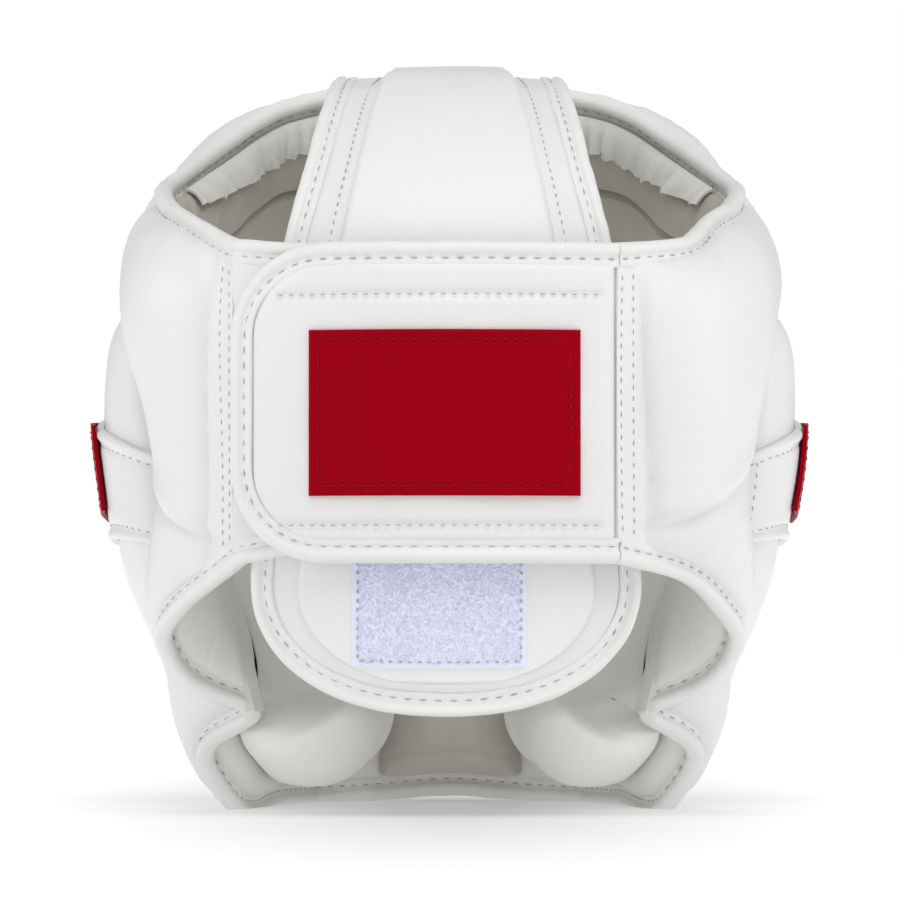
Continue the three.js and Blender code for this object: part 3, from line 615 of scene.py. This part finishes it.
LINING_GROOVE = {"depth": 3.0, "width": 0.028}
EAR_SEAM = {"low": 178, "high": 212, "bow": 0, "lap": 3.5, "half": 0.7, "grid": (8, 30)}


def forehead_dents(u, v, high, sign):
    """Gathers in the lining under the rim, a seam along its middle, and soft puckers on the outside."""
    near = np.where(v > 0.5, bell(high, 0, GATHERS["rim_reach"]),
                    GATHERS["brow"] * np.exp(-high / GATHERS["brow_reach"]))
    slant = u + 0.0016 * high
    gathers = 1 - 2 * np.abs(np.sin(slant * 120 + 3 * np.sin(u * 31))) ** 0.7 + 0.7 * np.sin(slant * 83 + 1.7)
    gathers = near * gathers * (1 - np.exp(-high / GATHERS["start"]))
    if sign > 0:
        return GATHERS["outside"] * gathers
    return GATHERS["lining"] * gathers - LINING_GROOVE["depth"] * bell(v, 0.5, LINING_GROOVE["width"])


def brow_foot(u):
    """The brow edge's set-back: none along the seam with the cheek guards, a binding's width at the face."""
    turned = np.clip((np.minimum(u, 1 - u) - BROW_TURN[0]) / (BROW_TURN[1] - BROW_TURN[0]), 0, 1)
    return SEAM_MARGIN + BROW_SET_BACK * turned ** 2 * (3 - 2 * turned)


forehead_surface = section_surface(both_halves(FOREHEAD_ROWS))
forehead_skins = padded_piece(
    "forehead_cover", inset_surface(forehead_surface, foot=brow_foot), FOREHEAD_PUFF,
    [WHITE_LEATHER, SHADED_LINING_LEATHER], "forehead_band", dents=forehead_dents)
for label, side, share in (("left", -1, 0), ("right", 1, 1)):
    add_fold(label + "_ear_seam", (side_surfaces[label], 1), (forehead_surface, share), side, EAR_SEAM,
             WHITE_LEATHER)

# Chin guard. A padded bar across the chin, white leather outside and softer leather inside, over foam.
# It is sewn at its ends to the two cheek guards, and its foot is part of the rim that stands on the floor.
CHIN_ROWS = [  # points [out, forward, up] of the foot, middle and lip, from the cheek to the middle
    [(51, 101, -1), (57, 111, 30), (61, 115, 56)],
    [(27, 117, 0), (29, 126, 30), (31, 129, 54)],
    [(0, 121, 2), (0, 130, 30), (0, 133, 53)]]
CHIN_PUFF = {"out": 14, "into": 10, "round": 18, "grid": (90, 48)}
chin_surface = section_surface(both_halves(CHIN_ROWS))
chin_skins = padded_piece(
    "chin_cover", inset_surface(chin_surface), CHIN_PUFF,
    [WHITE_LEATHER, PAD_LEATHER], "chin_guard")

# Inner cheek and chin pads. Big smooth cushions of lining leather stuffed with soft foam, sewn by their
# edges inside the cheek and chin guards. The cheek cushions carry painted light, the chin cushion painted
# shade. The chin pad creases near its upper and lower seams.
CHEEK_PAD = {"from": 0.255, "to": 0.98, "low": 0.03, "high": 0.62, "gap": 3.0}
CHEEK_PAD_PUFF = {"out": 0, "into": 30, "round": 29, "foot": 18, "grid": (60, 60)}
CHEEK_PAD_EVEN = 14
CHIN_PAD = {"from": 0.24, "to": 0.76, "low": 0.06, "high": 0.9, "gap": 1.6}
CHIN_PAD_PUFF = {"out": 0, "into": 16, "round": 16, "grid": (60, 60)}
CHIN_CREASES = {"depth": 1.6, "rows": (0.16, 0.86), "width": 0.03}
# A lighter copy of the pad leather for the cheek cushions: painted light on them, deep inside the guard.
CUSHION_LEATHER_PAINTED_LIGHT = leather("cushion_leather_painted_light", (0.92, 0.91, 0.89), (0.88, 0.87, 0.85), 0.45, 650, 0.4, 0.2)


def stretch_of(skin, stretch, lift, profile=None):
    """A stretch of a skin, moved off it by a distance to which a profile may add."""
    def part(u, v):
        risen = stretch.get("rise", 0) * np.sin(np.pi / 2 * u)
        return skin(stretch["from"] + (stretch["to"] - stretch["from"]) * u,
                    stretch["low"] + (stretch["high"] - stretch["low"]) * v + risen)
    normals = normals_of(part)

    def laid(u, v):
        height = np.full(len(u), float(lift))
        if profile is not None:
            height = height + profile(u, v)
        return part(u, v) + normals(u, v) * height[:, None]
    return laid


def chin_creases(u, v, high, sign):
    """Creases across the inside of the chin cushion."""
    if sign > 0:
        return 0
    return -CHIN_CREASES["depth"] * sum(bell(v, row, CHIN_CREASES["width"]) for row in CHIN_CREASES["rows"])


for label, _ in SIDES:
    backing = stretch_of(cheek_skins[label][1], CHEEK_PAD, -CHEEK_PAD["gap"] - EDGE / 2)
    padded_piece(label + "_cheek_cushion", backing, CHEEK_PAD_PUFF, [CUSHION_LEATHER_PAINTED_LIGHT], label + "_cheek_pad",
                 fill=0.85, slot="lining_leather", even=CHEEK_PAD_EVEN)
chin_backing = stretch_of(chin_skins[1], CHIN_PAD, -CHIN_PAD["gap"] - EDGE / 2)
padded_piece("chin_cushion", chin_backing, CHIN_PAD_PUFF, [SHADED_LINING_LEATHER], "chin_pad", dents=chin_creases,
             slot="lining_leather")

# Rear flap. A flat padded tab of white leather sewn to the right side panel, with a rounded free end and
# two rows of thread across it. It laps over to the left, where it closes on the left rear tab.
FLAP = {"left": -71.5, "right": 52.8, "bottom": 83.0, "top": 188.0, "thick": 7.0, "corner": 31.0, "y": -112.2,
        "bend": 140.0}
FLAP_SEAM = FLAP["right"] + 0.9
FLAP_ROWS = (95.4, 170.6)
FLAP_ROW_ENDS = (-57.0, 49.4)
FLAP_ROUND = 5.0
FLAP_EDGES = (5.4, 1.6)
FLAP_DIP = {"depth": 0.9, "width": 1.6}
FLAP_SWELL = {"height": 0.9, "half": 37.6}


def flap_point(x, z, lift):
    return np.column_stack([x, FLAP["y"] - lift + x ** 2 / (2 * FLAP["bend"]), z])


def flap_cut(x, inset):
    """How far the rounded end takes the flap's top and bottom edges in at a place across it."""
    radius = FLAP["corner"] - inset
    past = np.clip(FLAP["left"] + FLAP["corner"] - x, 0, radius)
    return radius - np.sqrt(radius ** 2 - past ** 2) + inset


def flap_relief(x, z):
    """Dips along the two rows of thread and a slight swell between them."""
    inside = (x > FLAP_ROW_ENDS[0]) & (x < FLAP_ROW_ENDS[1])
    dip = sum(bell(z, row, FLAP_DIP["width"]) for row in FLAP_ROWS) * inside
    swell = np.clip(1 - ((z - sum(FLAP_ROWS) / 2) / FLAP_SWELL["half"]) ** 2, 0, 1) ** 0.5
    return FLAP_SWELL["height"] * swell - FLAP_DIP["depth"] * dip


def flap_skin(lift, edge_lift, relief):
    def skin(u, v):
        span = FLAP_SEAM - FLAP["left"] - BOUND_MARGIN
        x = FLAP["left"] + BOUND_MARGIN + span * u ** 1.25
        cut = flap_cut(x, BOUND_MARGIN)
        low, high = FLAP["bottom"] + cut, FLAP["top"] - cut
        z = low + (high - low) * v
        ends = np.minimum(x - FLAP["left"] - BOUND_MARGIN, FLAP_SEAM - x)
        edge = np.minimum(np.minimum(z - low, high - z), ends)
        full = quarter_round(edge, FLAP_ROUND)
        ripple = 0.25 * soft_noise(flap_point(x, z, 0), size=38, seed=5)
        return flap_point(x, z, edge_lift + (lift - edge_lift + relief * (flap_relief(x, z) + ripple)) * full)
    return skin


add_wall("flap_cover", (130, 110), flap_skin(FLAP["thick"], FLAP_EDGES[0], 1), flap_skin(0, FLAP_EDGES[1], 0),
         [WHITE_LEATHER, SHADED_LINING_LEATHER], "rear_flap", fill=0.4)


def flap_seam(x, z, lift):
    place = flap_point(x, z, lift)
    return place, unit(flap_point(x, z, lift + 1) - place)


row_x = np.linspace(*FLAP_ROW_ENDS, 80)
flap_rows = [flap_seam(row_x, np.full(80, z), FLAP["thick"] + 0.1) for z in FLAP_ROWS]
sew("flap_stitching", flap_rows)

# Left rear tab. A thin underlap of white leather sewn to the left side panel. The flap closes on it, so
# that only a narrow strip shows beside the flap's rounded end.
REAR_TAB = {"left": -71.6, "right": -52.0, "bottom": 87.0, "top": 186.0, "thick": 2.0, "lift": -1.6}


def sheet_place(sheet, u, v):
    """Places across and up a rectangular sheet."""
    return (sheet["left"] + (sheet["right"] - sheet["left"]) * u,
            sheet["bottom"] + (sheet["top"] - sheet["bottom"]) * v)


def tab_skin(lift):
    return lambda u, v: flap_point(*sheet_place(REAR_TAB, u, v), lift)


add_wall("rear_tab_cover", (16, 40), tab_skin(REAR_TAB["lift"]),
         tab_skin(REAR_TAB["lift"] - REAR_TAB["thick"]), [WHITE_LEATHER], "left_rear_tab")

# Red patch. A bare rectangle of glossy red leather, soft and slightly uneven, sewn flat on the middle of
# the flap with a row of red thread set in from its edges.
RED_PATCH = {"left": -46.0, "right": 42.5, "bottom": 105.0, "top": 159.0, "thick": 1.2, "sunk": 1.2,
             "round": 0.9}
RED_PATCH_INSET = 3.2
RED_PITCH = 3.3
RED_LEATHER = leather("red_leather", (0.345, 0.0002, 0.0075), (0.28, 0.0001, 0.006), 0.35, 900, 0.6, 0.3,
                      specular=0.025)
RED_THREAD = leather("red_thread", (0.3, 0.002, 0.012), (0.2, 0.001, 0.006), 0.55, 1800, 0.8, 0.4)


def patch_skin(lift, rounded):
    def skin(u, v):
        x, z = sheet_place(RED_PATCH, u, v)
        edge = np.minimum(np.minimum(x - RED_PATCH["left"], RED_PATCH["right"] - x),
                          np.minimum(z - RED_PATCH["bottom"], RED_PATCH["top"] - z))
        dip = bell(edge, RED_PATCH_INSET, 0.9)
        swell = 0.35 * soft_noise(flap_point(x, z, 0), size=30, seed=21)
        edge_rise = 0.6 * quarter_round(edge, RED_PATCH["round"])
        return flap_point(x, z, lift + rounded * (edge_rise - 0.45 * dip + swell))
    return skin


top_of_flap = FLAP["thick"] + 1.0
add_wall("red_patch_leather", (110, 70), patch_skin(top_of_flap + RED_PATCH["thick"], 1),
         patch_skin(top_of_flap - RED_PATCH["sunk"], 0), [RED_LEATHER], "red_patch", slot="red_leather")
inset_x = (RED_PATCH["left"] + RED_PATCH_INSET, RED_PATCH["right"] - RED_PATCH_INSET)
inset_z = (RED_PATCH["bottom"] + RED_PATCH_INSET, RED_PATCH["top"] - RED_PATCH_INSET)
patch_lift = top_of_flap + RED_PATCH["thick"] + 0.35
patch_rows = [flap_seam(np.linspace(*inset_x, 60), np.full(60, z), patch_lift) for z in inset_z]
patch_rows += [flap_seam(np.full(60, x), np.linspace(*inset_z, 60), patch_lift) for x in inset_x]
sew("patch_stitching", patch_rows, RED_PITCH, "red_leather", RED_THREAD)

# Loop patch. A rectangle of pale loop fabric sewn round its edges to the crown's tongue, under the flap.
# Small loops of yarn stand all over it.
LOOP_PATCH = {"left": -30.7, "right": 26.3, "bottom": 50.5, "top": 87.0, "thick": 1.2, "sunk": 0.5}
LOOP_FABRIC = leather("loop_fabric", (0.81, 0.815, 0.96), (0.78, 0.785, 0.93), 0.95, 1500, 1.0, 0.3,
                      specular=0.1)
LOOP_COUNT = 6400
LOOP_PITCH = 3.0


def loop_skin(lift):
    def skin(u, v):
        x, height = sheet_place(LOOP_PATCH, u, v)
        share = crown_share_at(height)
        return crown_point(share, x, CROWN_BORDER / 2 + crown_lift(share, x) + lift)
    return skin


add_wall("loop_patch_fabric", (60, 40), loop_skin(LOOP_PATCH["thick"]), loop_skin(-LOOP_PATCH["sunk"]),
         [LOOP_FABRIC], "loop_patch", slot="loop_fabric")
loop_draw = np.random.default_rng(7)
loop_u, loop_v = loop_draw.uniform(0.03, 0.97, LOOP_COUNT), loop_draw.uniform(0.03, 0.97, LOOP_COUNT)
loop_place = loop_skin(LOOP_PATCH["thick"])(loop_u, loop_v)
loop_normal = unit(loop_skin(LOOP_PATCH["thick"] + 1)(loop_u, loop_v) - loop_place)
loop_turn = loop_draw.uniform(0, 2 * np.pi, LOOP_COUNT)
loop_aside = np.column_stack([np.cos(loop_turn), np.zeros(LOOP_COUNT), np.sin(loop_turn)])


def fuzz(name, places, normals, asides, slot, material, reach=0.3, width=0.36, thread=0.11):
    """Loops of yarn standing on a fabric: each a low arch with a three-sided section."""
    bend = np.linspace(0, np.pi, 5)
    ring = np.arange(3) * 2 * np.pi / 3
    vertices, polygons = [], []
    for place, normal, aside in zip(places, normals, asides):
        aside = aside - normal * (aside @ normal)
        aside = aside / max(np.linalg.norm(aside), 1e-9)
        beside = np.cross(normal, aside)
        base = len(vertices)
        for turn in bend:
            middle = place + aside * width * np.cos(turn) + normal * (reach * np.sin(turn) - 0.1)
            spoke = aside * np.cos(turn) + normal * np.sin(turn)
            vertices += [middle + thread * (spoke * np.cos(a) + beside * np.sin(a)) for a in ring]
        for k in range(len(bend) - 1):
            for a in range(3):
                low, high = base + 3 * k, base + 3 * k + 3
                polygons.append((low + a, low + (a + 1) % 3, high + (a + 1) % 3, high + a))
        polygons += [(base + 2, base + 1, base), (base + 12, base + 13, base + 14)]
    bpy.ops.object.select_all(action="DESELECT")
    bpy.ops.mesh.primitive_circle_add(vertices=3, fill_type="NGON")
    fill_with(bpy.context.active_object, name, np.array(vertices), polygons, slot, material, 70)


fuzz("loop_patch_pile", loop_place, loop_normal, loop_aside, "loop_fabric", LOOP_FABRIC)


def skin_border(skin, inset_u, inset_v):
    """The four sides of a border set in from a skin's edges, as seams."""
    across, upward = np.linspace(inset_u, 1 - inset_u, 50), np.linspace(inset_v, 1 - inset_v, 50)
    rows = [(across, inset_v), (across, 1 - inset_v), (inset_u, upward), (1 - inset_u, upward)]
    return [skin_seam(skin, u, v) for u, v in rows]


sew("loop_patch_stitching", skin_border(loop_skin(LOOP_PATCH["thick"] + 0.5), 0.03, 0.05), LOOP_PITCH,
    "loop_fabric", height=0.7)

# Side straps. Flat elastic leather straps over the cheek guards with beaded upper and lower edges,
# each closed by a hook strip under a red pull tab at its end.
STRAP = {"from": 0.03, "to": 0.62, "low": 0.41, "high": 0.63, "rise": 0.14, "gap": 0.4, "thick": 2.0,
         "sunk": 0.2, "grid": (60, 48)}
STRAP_BEAD = 0.09


def lay_on_cheek(label, name, node, sheet, material, slot="white_leather", profile=None):
    """A thin sheet laid on a cheek guard; returns its outer skin."""
    outer = stretch_of(cheek_skins[label][0], sheet, sheet["gap"] + sheet["thick"], profile)
    inner = stretch_of(cheek_skins[label][0], sheet, sheet["gap"] - sheet["sunk"])
    add_wall(label + name, sheet["grid"], outer, inner, [material], label + node, slot=slot)
    return outer


def strap_profile(u, v):
    """Rounded beads along the two long edges and a dip along the thread inside each."""
    side = np.minimum(v, 1 - v)
    bead = np.sqrt(np.clip(1 - ((side - STRAP_BEAD / 2) / (STRAP_BEAD / 2)) ** 2, 0, 1))
    return 0.9 * bead - 0.4 * bell(side, 1.5 * STRAP_BEAD, 0.025)


strap_skins = {label: lay_on_cheek(label, "_strap_leather", "_side_strap", STRAP, WHITE_LEATHER,
                                   profile=strap_profile) for label, _ in SIDES}
strap_steps = np.linspace(0.02, 0.98, 80)
strap_rows = [skin_seam(strap_skins[label], strap_steps, row) for label, _ in SIDES for row in (0.135, 0.865)]
strap_rows += [skin_seam(strap_skins["right"], end, np.linspace(0.1, 0.9, 60)) for end in (0.03, 0.07)]
sew("strap_stitching", strap_rows)

# Rim facings. A gathered strip of pale lining turned over the forehead band's rim inside each top opening,
# sewn under the binding and left loose and wavy at its lower edge.
FACING = {"low": 0.865, "high": 0.995, "lift": 0.8, "thick": 0.9}


def facing_waves(u, v):
    """Inward ruffles that grow towards the loose edge."""
    folds = np.sin(u * 58 + 2.6 * np.sin(u * 9)) + 0.6 * np.sin(u * 93 + 1.0)
    return -(1 - v) ** 0.7 * (0.9 + 0.75 * folds)


for label, first, last in (("left", 0.03, 0.40), ("right", 0.97, 0.60)):
    stretch = FACING | {"from": first, "to": last}
    outer, inner = (stretch_of(forehead_skins[1], stretch, -FACING["lift"] - depth, facing_waves)
                    for depth in (FACING["thick"], 0))
    add_wall(label + "_rim_facing", (110, 14), outer, inner, [PAD_LEATHER])

# Hook strips. Stiff purple-red hook fabric sewn to the underside of each pull tab. It grips the strap below
# it and shows only as a thin edge under the tab.
HOOK_STRIP = {"from": 0.33, "to": 0.47, "low": 0.58, "high": 0.715, "rise": 0.02, "gap": 2.6, "thick": 0.9,
              "sunk": 0.3, "grid": (24, 30)}
HOOK_FABRIC = leather("hook_fabric", (0.30, 0.015, 0.07), (0.2, 0.008, 0.045), 0.85, 1500, 1.0, 0.8)
for label, _ in SIDES:
    lay_on_cheek(label, "_hook_fabric", "_hook_strip", HOOK_STRIP, HOOK_FABRIC, "hook_fabric")

# Pull tabs. Red leather tabs over the hook strips, each sewn round its edges with red thread. They stand
# out at the sides and are gripped to open the straps.
PULL_TAB = {"from": 0.31, "to": 0.49, "low": 0.565, "high": 0.735, "rise": 0.02, "gap": 3.7, "thick": 1.2,
            "sunk": 0.2, "grid": (30, 34)}
tab_rows = []
for label, _ in SIDES:
    tab_top = lay_on_cheek(label, "_tab_leather", "_pull_tab", PULL_TAB, RED_LEATHER, "red_leather")
    tab_rows += skin_border(tab_top, 0.12, 0.09)
sew("tab_stitching", tab_rows, RED_PITCH, "red_leather", RED_THREAD)

# Bindings. A folded strip of white leather over every raw edge, sewn through near its inner side: round
# the crown panel, the flap, the lower rim, the two openings beside the crown and the face opening.
BINDING = {"width": 8.4, "thick": 6.4, "roll": 5.0, "lip": 2.5, "pitch": 5.0, "stitch": 5.6}
BINDING_STEP = 1.25
RIM_INSET = 6.0
RIM_ASIDE = 0.06  # how far in from a rim its way in and its normal are read
TAB_RIMS = {  # height, where it starts under the flap, the way in and the rise
    "lower": (83.0, -42.0, 1.0, -4.5), "upper": (190.0, -36.0, -1.0, 3.0)}
TAB_RIM_END, TAB_RIM_LIFT = -69.0, -4.0
CHEEK_FOOT = 0.97  # the share of a cheek guard's foot behind the chin guard


def smoothed(values, steps, ring):
    """Values along a path averaged over a few steps each way."""
    kernel = np.exp(-np.linspace(-1.6, 1.6, 2 * steps + 1) ** 2)
    kernel /= kernel.sum()
    padded = np.pad(values, ((steps, steps), (0, 0)), mode="wrap" if ring else "edge")
    if not ring:
        padded[:steps] += (np.arange(steps) - steps)[:, None] * (values[1] - values[0])
        padded[-steps:] += (np.arange(steps) + 1)[:, None] * (values[-1] - values[-2])
    return np.column_stack([np.convolve(padded[:, k], kernel, "valid") for k in range(3)])


def binding_section():
    """The folded strip's section: a round roll over the edge, a groove for the thread and a flat lip."""
    turn = np.linspace(0, 0.78 * np.pi, 13)
    thread, end = BINDING["stitch"], BINDING["width"]
    past_roll = np.array([(thread - 0.5, 0.88), (thread, 0.82), (thread + 0.6, 0.97),
                          (end - 0.9, 1.0), (end - 0.2, 0.92), (end, 0.6)])
    reach = np.concatenate([BINDING["roll"] / 2 * (1 - np.cos(turn)), past_roll[:, 0]])
    rise = np.concatenate([BINDING["thick"] / 2 * np.sin(turn) ** 0.8, BINDING["lip"] * past_roll[:, 1]])
    return np.concatenate([reach, reach[::-1]]), np.concatenate([rise, -rise[::-1]])


def bind(name, node, edge, inward, normal, ring=False, soften=5, crinkle=0.12):
    """Sweeps the folded strip along an edge and returns the rows for its thread, outside and inside."""
    if ring:
        edge, inward, normal = (np.concatenate([part, part[:1]]) for part in (edge, inward, normal))
    lengths = path_lengths(edge)
    count = int(lengths[-1] / BINDING_STEP)
    at = np.linspace(0, lengths[-1], count + 1)
    even = [read_along(at, lengths, part) for part in (edge, inward, normal)]
    if ring:
        even = [smoothed(part[:-1], soften, True) for part in even]
        even = [np.concatenate([part, part[:1]]) for part in even]
    else:
        even = [smoothed(part, soften, False) for part in even]
    edge, inward, normal = even
    along = np.gradient(edge, axis=0)
    if ring:
        along[0] = along[-1] = edge[1] - edge[-2]
    along = unit(along)
    inward = unit(inward - along * np.sum(inward * along, axis=1)[:, None])
    side = np.cross(along, inward)
    normal = side * np.sign(np.sum(side * normal, axis=1))[:, None]
    reach, rise = binding_section()
    near_thread = bell(reach, BINDING["stitch"], 1.3)
    waves = 1 + 0.1 * np.cos(2 * np.pi * at / BINDING["pitch"])[:, None] * near_thread
    placed = (edge[:, None] + inward[:, None] * reach[None, :, None]
              + normal[:, None] * (rise * waves)[:, :, None])
    bumps = soft_noise(placed.reshape(-1, 3), size=11, seed=31).reshape(placed.shape[:2])
    outward = normal[:, None] * np.sign(rise)[None, :, None] - inward[:, None] * 0.6
    placed += outward * (crinkle * bumps)[:, :, None]
    strip = new_grid(name, count, len(reach))
    flat = flat_places(strip)
    rows = np.rint(flat[:, 0] * count).astype(int)
    columns = np.rint(flat[:, 1] * len(reach)).astype(int) % len(reach)
    put(strip, placed[rows, columns])
    strip.data.materials.append(WHITE_LEATHER)
    finish_mesh(strip, 60, fill=True)
    dress(strip, "white_leather", node)
    lift = BINDING["lip"] * 0.88
    middle = edge + inward * BINDING["stitch"]
    return [(middle + normal * lift, normal), (middle - normal * lift, -normal)]


def rim_of(surface, which, shares):
    """A surface's foot, head or end: its points, the way in from it and the way out of the padding."""
    here, near = (np.full(len(shares), share)
                  for share in ((0.0, RIM_ASIDE) if which == "foot" else (1.0, 1 - RIM_ASIDE)))
    at, within = ((here, shares), (near, shares)) if which == "end" else ((shares, here), (shares, near))
    edge = surface(*at)
    return edge, unit(surface(*within) - edge), normals_of(surface)(*within)


def chained(*stretches):
    return [np.concatenate(parts) for parts in zip(*stretches)]


def backwards(stretch):
    return [part[::-1] for part in stretch]


def crown_rim(inset):
    """The crown panel's edge down one side, round the tongue and up the other, and the way out of it."""
    def rounded(value):
        return np.sign(value) * np.abs(value) ** (2 / TONGUE_POWER)
    shares = np.linspace(0.0, float(crown_share_at(TONGUE_TOP + 1)), 120)
    half = crown_half(shares, inset)
    turn = np.linspace(0, np.pi, 90)
    end = -(crown_value("half", 1.0) - inset) * rounded(np.cos(turn))
    heights = TONGUE_TOP - (TONGUE_TOP - TONGUE_BOTTOM - inset) * rounded(np.sin(turn))
    shares = np.concatenate([shares, crown_share_at(heights), shares[::-1]])
    x = np.concatenate([-half, end, half[::-1]])
    points = crown_point(shares, x, np.zeros(len(x)))
    return points, crown_point(shares, x, np.ones(len(x))) - points


def flap_rim(inset):
    """The flap's edge from its sewn end along the top, round the free end and back along the bottom."""
    def corner(middle, first):
        turn = first + np.linspace(0, np.pi / 2, 30)
        radius = FLAP["corner"] - inset
        return FLAP["left"] + FLAP["corner"] + radius * np.cos(turn), middle + radius * np.sin(turn)
    line = np.linspace(FLAP["right"] + 1.5, FLAP["left"] + FLAP["corner"] + 1, 60)
    upper = corner(FLAP["top"] - FLAP["corner"], np.pi / 2)
    lower = corner(FLAP["bottom"] + FLAP["corner"], np.pi)
    x = np.concatenate([line, upper[0], lower[0], line[::-1]])
    z = np.concatenate([np.full(60, FLAP["top"] - inset), upper[1],
                        lower[1], np.full(60, FLAP["bottom"] + inset)])
    return flap_point(x, z, FLAP["thick"] / 2)


def tab_rim(which):
    """The bound upper or lower edge of the left rear tab, from its end under the flap to the side panel."""
    height, start, inward, rise = TAB_RIMS[which]
    heights = height - rise * np.linspace(1, 0, 30)
    edge = flap_point(np.linspace(start, TAB_RIM_END, 30), heights, TAB_RIM_LIFT)
    return edge, np.tile((0.0, 0.0, inward), (30, 1)), np.tile((0.0, -1.0, 0.0), (30, 1))


crown_edge, crown_out = crown_rim(0.0)
crown_in, _ = crown_rim(RIM_INSET)
binding_rows = bind("crown_edging", "crown_binding", crown_edge, unit(crown_in - crown_edge), crown_out)
flap_edge = flap_rim(0.0)
flap_out = np.tile((0.0, -1.0, 0.0), (len(flap_edge), 1))
flap_in = unit(flap_rim(RIM_INSET) - flap_edge)
binding_rows += bind("flap_edging", "flap_binding", flap_edge, flap_in, flap_out)
whole = np.linspace(0, 1, 120)
lower_left = chained(tab_rim("lower"), rim_of(side_surfaces["left"], "foot", whole[2:]),
                     rim_of(cheek_surfaces["left"], "foot", whole * CHEEK_FOOT))
lower_right = chained(rim_of(side_surfaces["right"], "foot", whole),
                      rim_of(cheek_surfaces["right"], "foot", whole * CHEEK_FOOT))
lower = chained(lower_left, rim_of(chin_surface, "foot", whole), backwards(lower_right))
binding_rows += bind("lower_edging", "lower_binding", *lower)
for label, first, last in (("left", 0.01, 0.345), ("right", 0.99, 0.655)):
    rim = chained(rim_of(side_surfaces[label], "head", whole[2:] if label == "left" else whole),
                  rim_of(forehead_surface, "head", np.linspace(first, last, 60)))
    if label == "left":
        rim = chained(tab_rim("upper"), rim)
    binding_rows += bind(label + "_top_edging", label + "_top_binding", *rim, crinkle=0.22)
face_heights = np.linspace(0.32, 0.9, 60)
face = chained(rim_of(cheek_surfaces["left"], "end", face_heights),
               rim_of(forehead_surface, "foot", np.linspace(0.3, 0.7, 90)),
               backwards(rim_of(cheek_surfaces["right"], "end", face_heights)),
               backwards(rim_of(chin_surface, "head", np.linspace(0.1, 0.9, 60))))
binding_rows += bind("face_edging", "face_binding", *face, ring=True, soften=9)
sew("binding_stitching", binding_rows, BINDING["pitch"])

# Studio. A pale matt floor with a painted shadow: it glows, least near the guard, and a plain white surround.
# Three soft disk lamps light the guard from above and the sides, and two narrow low beams reach in under its
# rear.
# The floor's painted shadow: its glow is weakest in a stretched ellipse round the guard and brightest far
# off.
FLOOR_STRETCH = (5.0, 0.85, 1.0)
FLOOR_GLOW_PAINTED_SHADOW = {"From Min": 0.1, "From Max": 1.0, "To Min": 0.27, "To Max": 0.8}
SURROUND = {"To Min": 0.5, "To Max": 1.0}  # its strength on the guard and as seen behind it
LAMP_AIM = (0, 0, 0.12)
LAMPS = (  # name, place, size and power
    ("over", (0.12, -1.0, 1.6), 1.5, 12), ("left", (-1.5, -0.6, 0.9), 1.0, 5),
    ("right", (1.5, -0.6, 0.9), 1.0, 5))
BEAMS = (  # name, place, aim and power
    ("low_left", (-0.35, -1.6, 0.02), (0.06, 0.06, 0.0), 28),
    ("low_right", (0.35, -1.6, 0.02), (-0.06, 0.06, 0.0), 26))
BEAM_ANGLE, BEAM_SOFTNESS = 5, 0.06
CAMERA = {"place": (0, -2.2125, 0.060), "aim": (0, -0.0125, 0.1232), "lens": 256.6}
bpy.ops.mesh.primitive_plane_add(size=30, location=(0, 0, 0))
floor = bpy.context.active_object
floor.name = "floor"
floor_painted_shadow = bpy.data.materials.new("floor_painted_shadow")
floor_painted_shadow.use_nodes = True
floor_tree = floor_painted_shadow.node_tree
floor_place = new_node(floor_tree, "TexCoord", {})["Object"]
floor_stretch = new_node(floor_tree, "VectorMath", {0: floor_place, 1: FLOOR_STRETCH}, operation="MULTIPLY")
floor_reach = new_node(floor_tree, "VectorMath", {0: floor_stretch["Vector"]}, operation="LENGTH")
floor_glow_painted_shadow = new_node(floor_tree, "MapRange", FLOOR_GLOW_PAINTED_SHADOW | {"Value": floor_reach["Value"]})
# The floor glows though it is no lamp: painted light, dimmed near the guard as a painted shadow.
feed(floor_tree, floor_tree.nodes["Principled BSDF"], {
    "Base Color": (0.5, 0.5, 0.5, 1), "Roughness": 1.0, "Specular IOR Level": 0.0, "Emission Strength": 1.0,
    "Emission Color": floor_glow_painted_shadow["Result"]})
floor.data.materials.append(floor_painted_shadow)

surround = bpy.data.worlds.new("surround")
surround.use_nodes = True
seen = new_node(surround.node_tree, "LightPath", {})["Is Camera Ray"]
strength = new_node(surround.node_tree, "MapRange", SURROUND | {"Value": seen})["Result"]
feed(surround.node_tree, surround.node_tree.nodes["Background"],
     {"Color": (1, 1, 1, 1), "Strength": strength})
bpy.context.scene.world = surround
bpy.context.scene.view_settings.view_transform = "Standard"


def aim_at(thing, target):
    way = np.array(target) - np.array(thing.location)
    flat = np.hypot(way[0], way[1])
    thing.rotation_euler = (np.pi / 2 + np.arctan2(way[2], flat), 0, np.arctan2(way[1], way[0]) - np.pi / 2)


def add_light(kind, name, place, aim, power, **settings):
    bpy.ops.object.light_add(type=kind, location=place)
    light = bpy.context.active_object
    light.name = name
    light.data.energy = power
    for setting, value in settings.items():
        setattr(light.data, setting, value)
    aim_at(light, aim)


for name, place, size, power in LAMPS:
    add_light("AREA", name, place, LAMP_AIM, power, shape="DISK", size=size)
for name, place, aim, power in BEAMS:
    add_light("SPOT", name, place, aim, power, spot_size=np.radians(BEAM_ANGLE), spot_blend=1.0,
              shadow_soft_size=BEAM_SOFTNESS)

bpy.ops.object.camera_add(location=CAMERA["place"])
camera = bpy.context.active_object
camera.name = "photo_camera"
camera.data.sensor_width = 36
camera.data.lens = CAMERA["lens"]
aim_at(camera, CAMERA["aim"])
bpy.context.scene.camera = camera
